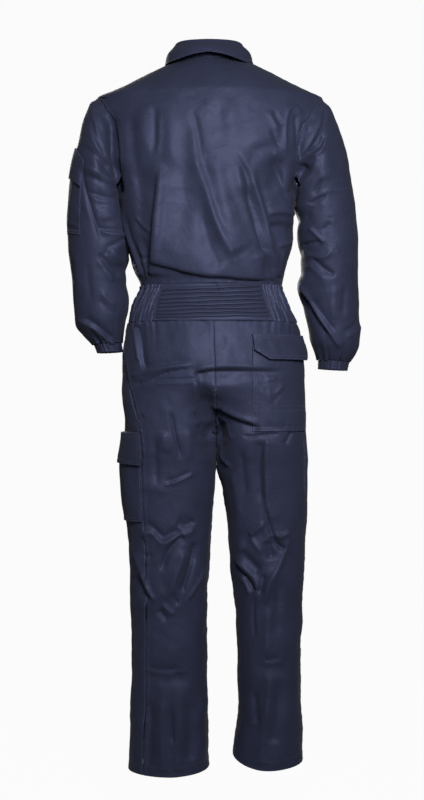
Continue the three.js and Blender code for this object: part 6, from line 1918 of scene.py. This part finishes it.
class SUIT_OT_trousers(SuitPiece, bpy.types.Operator):
    """Makes the backs and the fronts of both trouser legs"""
    bl_idname = "suit.trousers"
    bl_label = "Trousers"

    def execute(self, context):
        cell = sizes().cell
        for name, sign in SIGNS.items():
            z = levels(WAIST_END_Z, HEM_Z, HEM_DROP, CROTCH_BAND)
            rows, columns = np.meshgrid(z, spaced(TROUSER_BACK_WIDTH, cell), indexing="ij")
            cloth = trouser_cloth(name, rows, columns)
            cloth.crumple(("seat", "leg_" + name), 112 + int(sign), 1.2)
            leg_gathers(cloth, rows, sign, 115)
            close_crotch(cloth, sign)
            self.finish_leg(name, "back", cloth, 116)
            z = levels(WAIST_Z, HEM_Z, HEM_DROP + 80, CROTCH_BAND)
            rows, columns = np.meshgrid(z, 1 + spaced(TROUSER_FRONT_WIDTH, cell), indexing="ij")
            cloth = trouser_cloth(name, rows, beside_zip(name, rows, columns))
            cloth.crumple(("fly", "leg_" + name), 122 + int(sign), 1.2)
            close_crotch(cloth, sign)
            self.finish_leg(name, "front", cloth, 126)
        return {"FINISHED"}

    def finish_leg(self, name, half, cloth, seed):
        """Sews and hems half a leg: backs lie over fronts, and the left back over the right."""
        back = half == "back"
        outer, centre = ("end", "start") if back else ("start", "end")
        over = back and name == "left"
        cloth.seam("top", "plain", seed)
        cloth.seam(outer, "felled" if back else "plain", seed + 1)
        cloth.seam(centre, "felled" if over else "plain", seed + 2)
        hem = cloth.edges["bottom"]
        cloth.groove(hem - HEM_STITCH, 0.6, 1.5)
        cloth.worn = np.maximum(cloth.worn, np.exp(-hem / 2.5))
        cloth.renew_normals()
        piece = "trouser_" + half + "_" + name
        make_cloth(piece, cloth, {**ALL_ROUND, "bottom": turning(1.8, 9)})
        rows = {outer: FELLED_ROWS if back else PLAIN_ROW}
        if back:
            rows[centre] = FELLED_ROWS if over else PLAIN_ROW
        rows["bottom"] = (HEM_STITCH,)
        stitch_object(piece + "_stitching", seam_rows(cloth, rows))


# Patch pockets

POCKET_LEG_AXIS_X = 90.0
POCKET_ARM_AXIS_X = 255.0


def on_trousers(name, left, right, top, bottom, plumb=None, chamfer=None):
    """The panel points under a patch whose shares run across from left to right and down."""
    regions = ("seat", "leg_" + name)

    def place(u, v):
        low = np.full(u.shape, float(bottom))
        if chamfer:
            depth, reach = chamfer
            corner = np.maximum(np.clip(1 - u / reach, 0, 1), np.clip(1 - (1 - u) / reach, 0, 1))
            low = low + depth * corner
        z = top + (low - top) * v
        start = np.full(u.shape, float(left))
        if plumb is not None:
            near, far = np.full(u.shape, 0.05), np.full(u.shape, 0.9)
            for _ in range(24):
                middle = (near + far) / 2
                x = np.abs(trouser_point(name, middle, z)[..., 0])
                near = np.where(x < plumb, middle, near)
                far = np.where(x < plumb, far, middle)
            start = near
        column = mix(start, right, u)
        points = trouser_point(name, column, z)
        normals = turned_out(points, (SIGNS[name] * POCKET_LEG_AXIS_X, 0, 0))
        lift = OUTER + crease_field(points, normals, regions)
        return points + normals * lift[..., None], normals

    return place


def on_sleeve(name, left, right, top, bottom):
    """The sleeve points under a patch, between turns in degrees and ring numbers."""
    def place(u, v):
        ring = top + (bottom - top) * v
        around = np.radians(mix(left, right, u))
        points = sleeve_point(name, ring, around)
        normals = turned_out(points, (POCKET_ARM_AXIS_X, 0, 0))
        lift = OUTER + crease_field(points, normals, ("sleeve_" + name,))
        return points + normals * lift[..., None], normals

    return place


# name, width, length, lift, hang at the foot, swell of the middle
PATCHES = [
    ("hip_pocket", 165, 178, 2.6, 0.0, 1.5),
    ("hip_pocket_flap", 165, 52, 6.2, 5.5, 1.2),
    ("cargo_pocket", 190, 160, 2.7, 0.0, 3.5),
    ("cargo_pocket_flap", 200, 66, 6.2, 7.5, 1.5),
    ("tool_pocket", 118, 155, 2.0, 0.0, 1.0),
    ("sleeve_pocket", 135, 160, 2.0, 0.0, 1.5),
    ("sleeve_pocket_flap", 145, 72, 4.4, 3.0, 1.0),
]


def patch_places():
    return {
        "hip_pocket": on_trousers("right", 0.27, 0.97, -612, -789, plumb=82),
        "hip_pocket_flap": on_trousers("right", 0.28, 0.99, -588, -640, chamfer=(19, 0.16)),
        "cargo_pocket": on_trousers("left", 1.01, 1.53, -822, -982),
        "cargo_pocket_flap": on_trousers("left", 0.985, 1.545, -792, -858),
        "tool_pocket": on_trousers("right", 0.86, 1.22, -797, -952),
        "sleeve_pocket": on_sleeve("left", -58, 62, 3.7, 6.3),
        "sleeve_pocket_flap": on_sleeve("left", -61, 65, 3.3, 4.5),
    }


class SUIT_OT_pockets(SuitPiece, bpy.types.Operator):
    """Makes the patch pockets and their flaps"""
    bl_idname = "suit.pockets"
    bl_label = "Pockets"

    def execute(self, context):
        places = patch_places()
        for number, patch in enumerate(PATCHES):
            self.patch(number, places[patch[0]], *patch)
        return {"FINISHED"}

    def patch(self, number, place, name, width, length, lift, hang, swell):
        cell = min(3.4, sizes().cell)
        v, u = np.meshgrid(spaced(length, cell), spaced(width, cell), indexing="ij")
        cloth = Cloth(*place(u, v))
        flap = name.endswith("flap")
        border = cloth.border("start", "end", "bottom")
        if flap:
            rise = lift + hang * smooth(v, 0, 1)
        else:
            rise = lift + swell * np.sin(np.pi * np.clip(v, 0, 1)) * smooth(border, 6, 35)
        if name == "cargo_pocket":
            rise = rise + 4 * (1 - v) * smooth(v, 0, 0.1)
        cloth.press(rise + 0.5 * unevenness(cloth.base, 45, 130 + number))
        cloth.press(crease_field(cloth.base, cloth.normals, (name,)))
        for distance in POCKET_ROWS:
            cloth.groove(border - distance, 0.8, 1.2)
        run = along_lines(cloth.base, 0) + along_lines(cloth.base, 1)
        cloth.press(0.35 * pucker(run, border, 140 + number, reach=7))
        if name == "hip_pocket":
            for drop in DIVISION_DROPS:
                cloth.groove(cloth.base[..., 2] - HIP_DIVISION_Z - drop, 0.9, 1.3)
        cloth.worn = np.exp(-cloth.border(*SIDES) / 2.5)
        cloth.renew_normals()
        rows = {side: POCKET_ROWS for side in ("start", "end", "bottom")}
        if flap:
            edges = {"start": turning(1.5, 5), "end": turning(1.5, 5), "bottom": turning(1.5, 7),
                     "top": [(0, 1.2, 0.2), (0, lift - 1.0, 0.2)]}
            rows["top"] = POCKET_ROWS
        else:
            wall = [(0, 0.8, 0.25), (0, lift + 0.2, 0.3)]
            edges = {"start": wall, "end": wall, "bottom": wall, "top": turning(1.5, 5)}
        make_cloth(name, cloth, edges)
        stitches = seam_rows(cloth, rows)
        if name == "hip_pocket":
            for drop in DIVISION_DROPS:
                row = int(np.argmin(np.abs(cloth.base[:, 4, 2] - HIP_DIVISION_Z - drop)))
                stitches.append(stitches_along(cloth.points[row], cloth.normals[row]))
        stitch_object(name + "_stitching", stitches)


# Zip

TAPE_EDGE = [(0, 0.9, 0.0)]
# Corners of a tooth: towards the other tape, along the zip and up
TOOTH_CORNERS = (
    (-0.4, -0.42, 0), (-0.4, 0.42, 0), (2.5, 0.5, 0), (2.5, -0.5, 0),
    (-0.2, -0.3, 1.0), (-0.2, 0.3, 1.0), (2.3, 0.38, 0.9), (2.3, -0.38, 0.9),
)
TOOTH_FACES = ((0, 1, 2, 3), (4, 7, 6, 5), (0, 4, 5, 1), (1, 5, 6, 2), (2, 6, 7, 3), (3, 7, 4, 0))


def teeth_mesh(line, up):
    """Teeth in turn from either side of the zip's middle line, but not under the slider."""
    run = line_run(line)
    corners, faces = [], []
    for k, mark in enumerate(np.arange(3, run[-1] - 3, TOOTH_PITCH / 2)):
        at = sampled(mark, run, line)
        if SLIDER_LOW_Z < at[2] < SLIDER_HIGH_Z:
            continue
        out = unit(sampled(mark, run, up))
        way = unit(sampled(mark + 1, run, line) - at)
        side = unit(np.cross(out, way)) * (1 if k % 2 else -1)
        faces += [tuple(len(corners) + f for f in face) for face in TOOTH_FACES]
        corners += [tuple((at + side * b + way * c + out * (h + 0.2)) * MM) for b, c, h in TOOTH_CORNERS]
    mesh = bpy.data.meshes.new("zip_teeth")
    mesh.from_pydata(corners, [], faces)
    mesh.validate()
    return mesh


class SUIT_OT_zip(SuitPiece, bpy.types.Operator):
    """Makes the zip's tape and teeth, and finishes its slider and pull tab"""
    bl_idname = "suit.zip"
    bl_label = "Zip"

    def execute(self, context):
        length = abs(ZIP_END_Z - SHOULDER_Z) - 8
        z = SHOULDER_Z - 6.0 + (ZIP_END_Z + 1 - SHOULDER_Z + 6.0) * spaced(length, 4.0)
        half = ZIP_HALF - 0.3
        rows, across = np.meshgrid(z, np.linspace(half, -half, 9), indexing="ij")
        cloth = body_cloth(np.pi - np.arcsin(across / half_width(across, rows)), rows)
        cloth.press(0.6 - 0.5 * np.exp(-((across / 2.0) ** 2)))
        tape = shared_material("Woven polyester zip tape", tape_surface, colours().tape)
        make_cloth("zip_tape", cloth, {"start": TAPE_EDGE, "end": TAPE_EDGE}, tape)
        brass = shared_material("Tumbled zip brass", brass_surface, colours().brass)
        put("zip_teeth", teeth_mesh(cloth.points[:, 4], cloth.normals[:, 4]), brass)
        for node in ("zip_slider", "zip_pull"):
            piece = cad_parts[node]
            piece.data.materials.clear()
            piece.data.materials.append(brass)
        return {"FINISHED"}


# Studio

FLOOR_Z = -1.62

# The floor runs from behind the camera past the suit to a bend and up a wall, all in metres
FLOOR_END_Y = 9.0
BEND_Y = -5.0
BEND_RADIUS = 1.5
WALL_Y = -6.5
WALL_TOP_Z = 5.0
HALF_FLOOR_WIDTH = 9.0
LIGHT_SPREAD = 95
CAMERA_X = 0.0022

# name, place, what it points at, size, power
STUDIO_LIGHTS = [
    ("key", (-0.3, 1.95, 0.12), (0, 0.1, -0.46), 0.75, 20.6),
    ("low", (-0.1, 2.3, -1.0), (0, 0.1, -1.2), 0.9, 0.8),
    ("front", (0.6, -2.4, 0.2), (0, 0.0, -0.5), 1.6, 8.0),
]


def studio_air():
    """Dim even light all round, and white where the camera looks straight into it."""
    world = bpy.data.worlds.new("Studio air")
    world.use_nodes = True
    tree = world.node_tree
    tree.nodes.clear()
    path = add_node(tree, "ShaderNodeLightPath")
    strength = add_node(tree, "ShaderNodeMapRange", {"To Min": 0.12, "To Max": 1.0},
                        {"Value": path.outputs["Is Camera Ray"]})
    air = add_node(tree, "ShaderNodeBackground", {"Color": (1.0, 1.0, 1.0, 1.0)},
                   {"Strength": strength.outputs["Result"]})
    add_node(tree, "ShaderNodeOutputWorld", None, {"Surface": air.outputs["Background"]})
    return world


class SUIT_OT_studio(SuitPiece, bpy.types.Operator):
    """Makes the pale floor, the soft lights and the camera behind the suit"""
    bl_idname = "suit.studio"
    bl_label = "Studio"

    def execute(self, context):
        scene = context.scene
        mesh = bpy.data.meshes.new("studio_sweep")
        bend = [(math.sin(a), 1 - math.cos(a)) for a in np.linspace(0.1, 1.5, 12)]
        profile = [(FLOOR_END_Y, FLOOR_Z), (BEND_Y, FLOOR_Z)]
        profile += [(BEND_Y - BEND_RADIUS * back, FLOOR_Z + BEND_RADIUS * up) for back, up in bend]
        profile += [(WALL_Y, FLOOR_Z + BEND_RADIUS + 0.1), (WALL_Y, WALL_TOP_Z)]
        corners = [(x, y, z) for y, z in profile for x in (-HALF_FLOOR_WIDTH, HALF_FLOOR_WIDTH)]
        strips = [(2 * k, 2 * k + 1, 2 * k + 3, 2 * k + 2) for k in range(len(profile) - 1)]
        mesh.from_pydata(corners, [], strips)
        mesh.shade_smooth()
        sweep = bpy.data.objects.new("studio_sweep", mesh)
        mesh.materials.append(shared_material("Matt white board", studio_surface, colours().floor))
        scene.collection.objects.link(sweep)
        scene.world = studio_air()
        scene.view_settings.view_transform = "Standard"
        for name, place, target, size, power in STUDIO_LIGHTS:
            data = bpy.data.lights.new("soft_" + name, "AREA")
            data.shape = "DISK"
            data.size = size
            data.energy = power
            data.spread = math.radians(LIGHT_SPREAD)
            light = bpy.data.objects.new("soft_" + name, data)
            light.location = place
            light.rotation_euler = direction_euler(np.array(target) - np.array(place))
            light.visible_camera = False
            scene.collection.objects.link(light)
        data = bpy.data.cameras.new("camera")
        distance = sizes().camera_distance
        data.sensor_fit = "VERTICAL"
        data.angle = 2 * math.atan(sizes().frame_height / 2 / distance)
        camera = bpy.data.objects.new("camera", data)
        camera.location = (CAMERA_X, distance, CAMERA_Z * MM)
        camera.rotation_euler = (math.pi / 2, 0, math.pi)
        scene.collection.objects.link(camera)
        scene.camera = camera
        return {"FINISHED"}


def direction_euler(aim):
    return Vector(tuple(float(v) for v in aim)).to_track_quat("-Z", "Y").to_euler()


class SUIT_PT_pieces(bpy.types.Panel):
    bl_label = "Boiler suit"
    bl_idname = "SUIT_PT_pieces"
    bl_space_type = "VIEW_3D"
    bl_region_type = "UI"
    bl_category = "Boiler suit"

    def draw(self, context):
        for operator in OPERATORS:
            self.layout.operator(operator.bl_idname)
        for group in (context.scene.suit_sizes, context.scene.suit_colours):
            for key in group.__annotations__:
                self.layout.prop(group, key)


OPERATORS = (
    SUIT_OT_studio, SUIT_OT_back, SUIT_OT_fronts, SUIT_OT_collar, SUIT_OT_sleeves, SUIT_OT_cuffs,
    SUIT_OT_waist, SUIT_OT_trousers, SUIT_OT_pockets, SUIT_OT_zip,
)
CLASSES = (SuitSizes, SuitColours) + OPERATORS + (SUIT_PT_pieces,)


def register():
    for item in CLASSES:
        bpy.utils.register_class(item)
    bpy.types.Scene.suit_sizes = bpy.props.PointerProperty(type=SuitSizes)
    bpy.types.Scene.suit_colours = bpy.props.PointerProperty(type=SuitColours)


def unregister():
    del bpy.types.Scene.suit_colours
    del bpy.types.Scene.suit_sizes
    for item in reversed(CLASSES):
        bpy.utils.unregister_class(item)


def main():
    """Makes all pieces in order."""
    register()
    for operator in OPERATORS:
        group, name = operator.bl_idname.split(".")
        getattr(getattr(bpy.ops, group), name)()


if __name__ == "__main__":
    main()
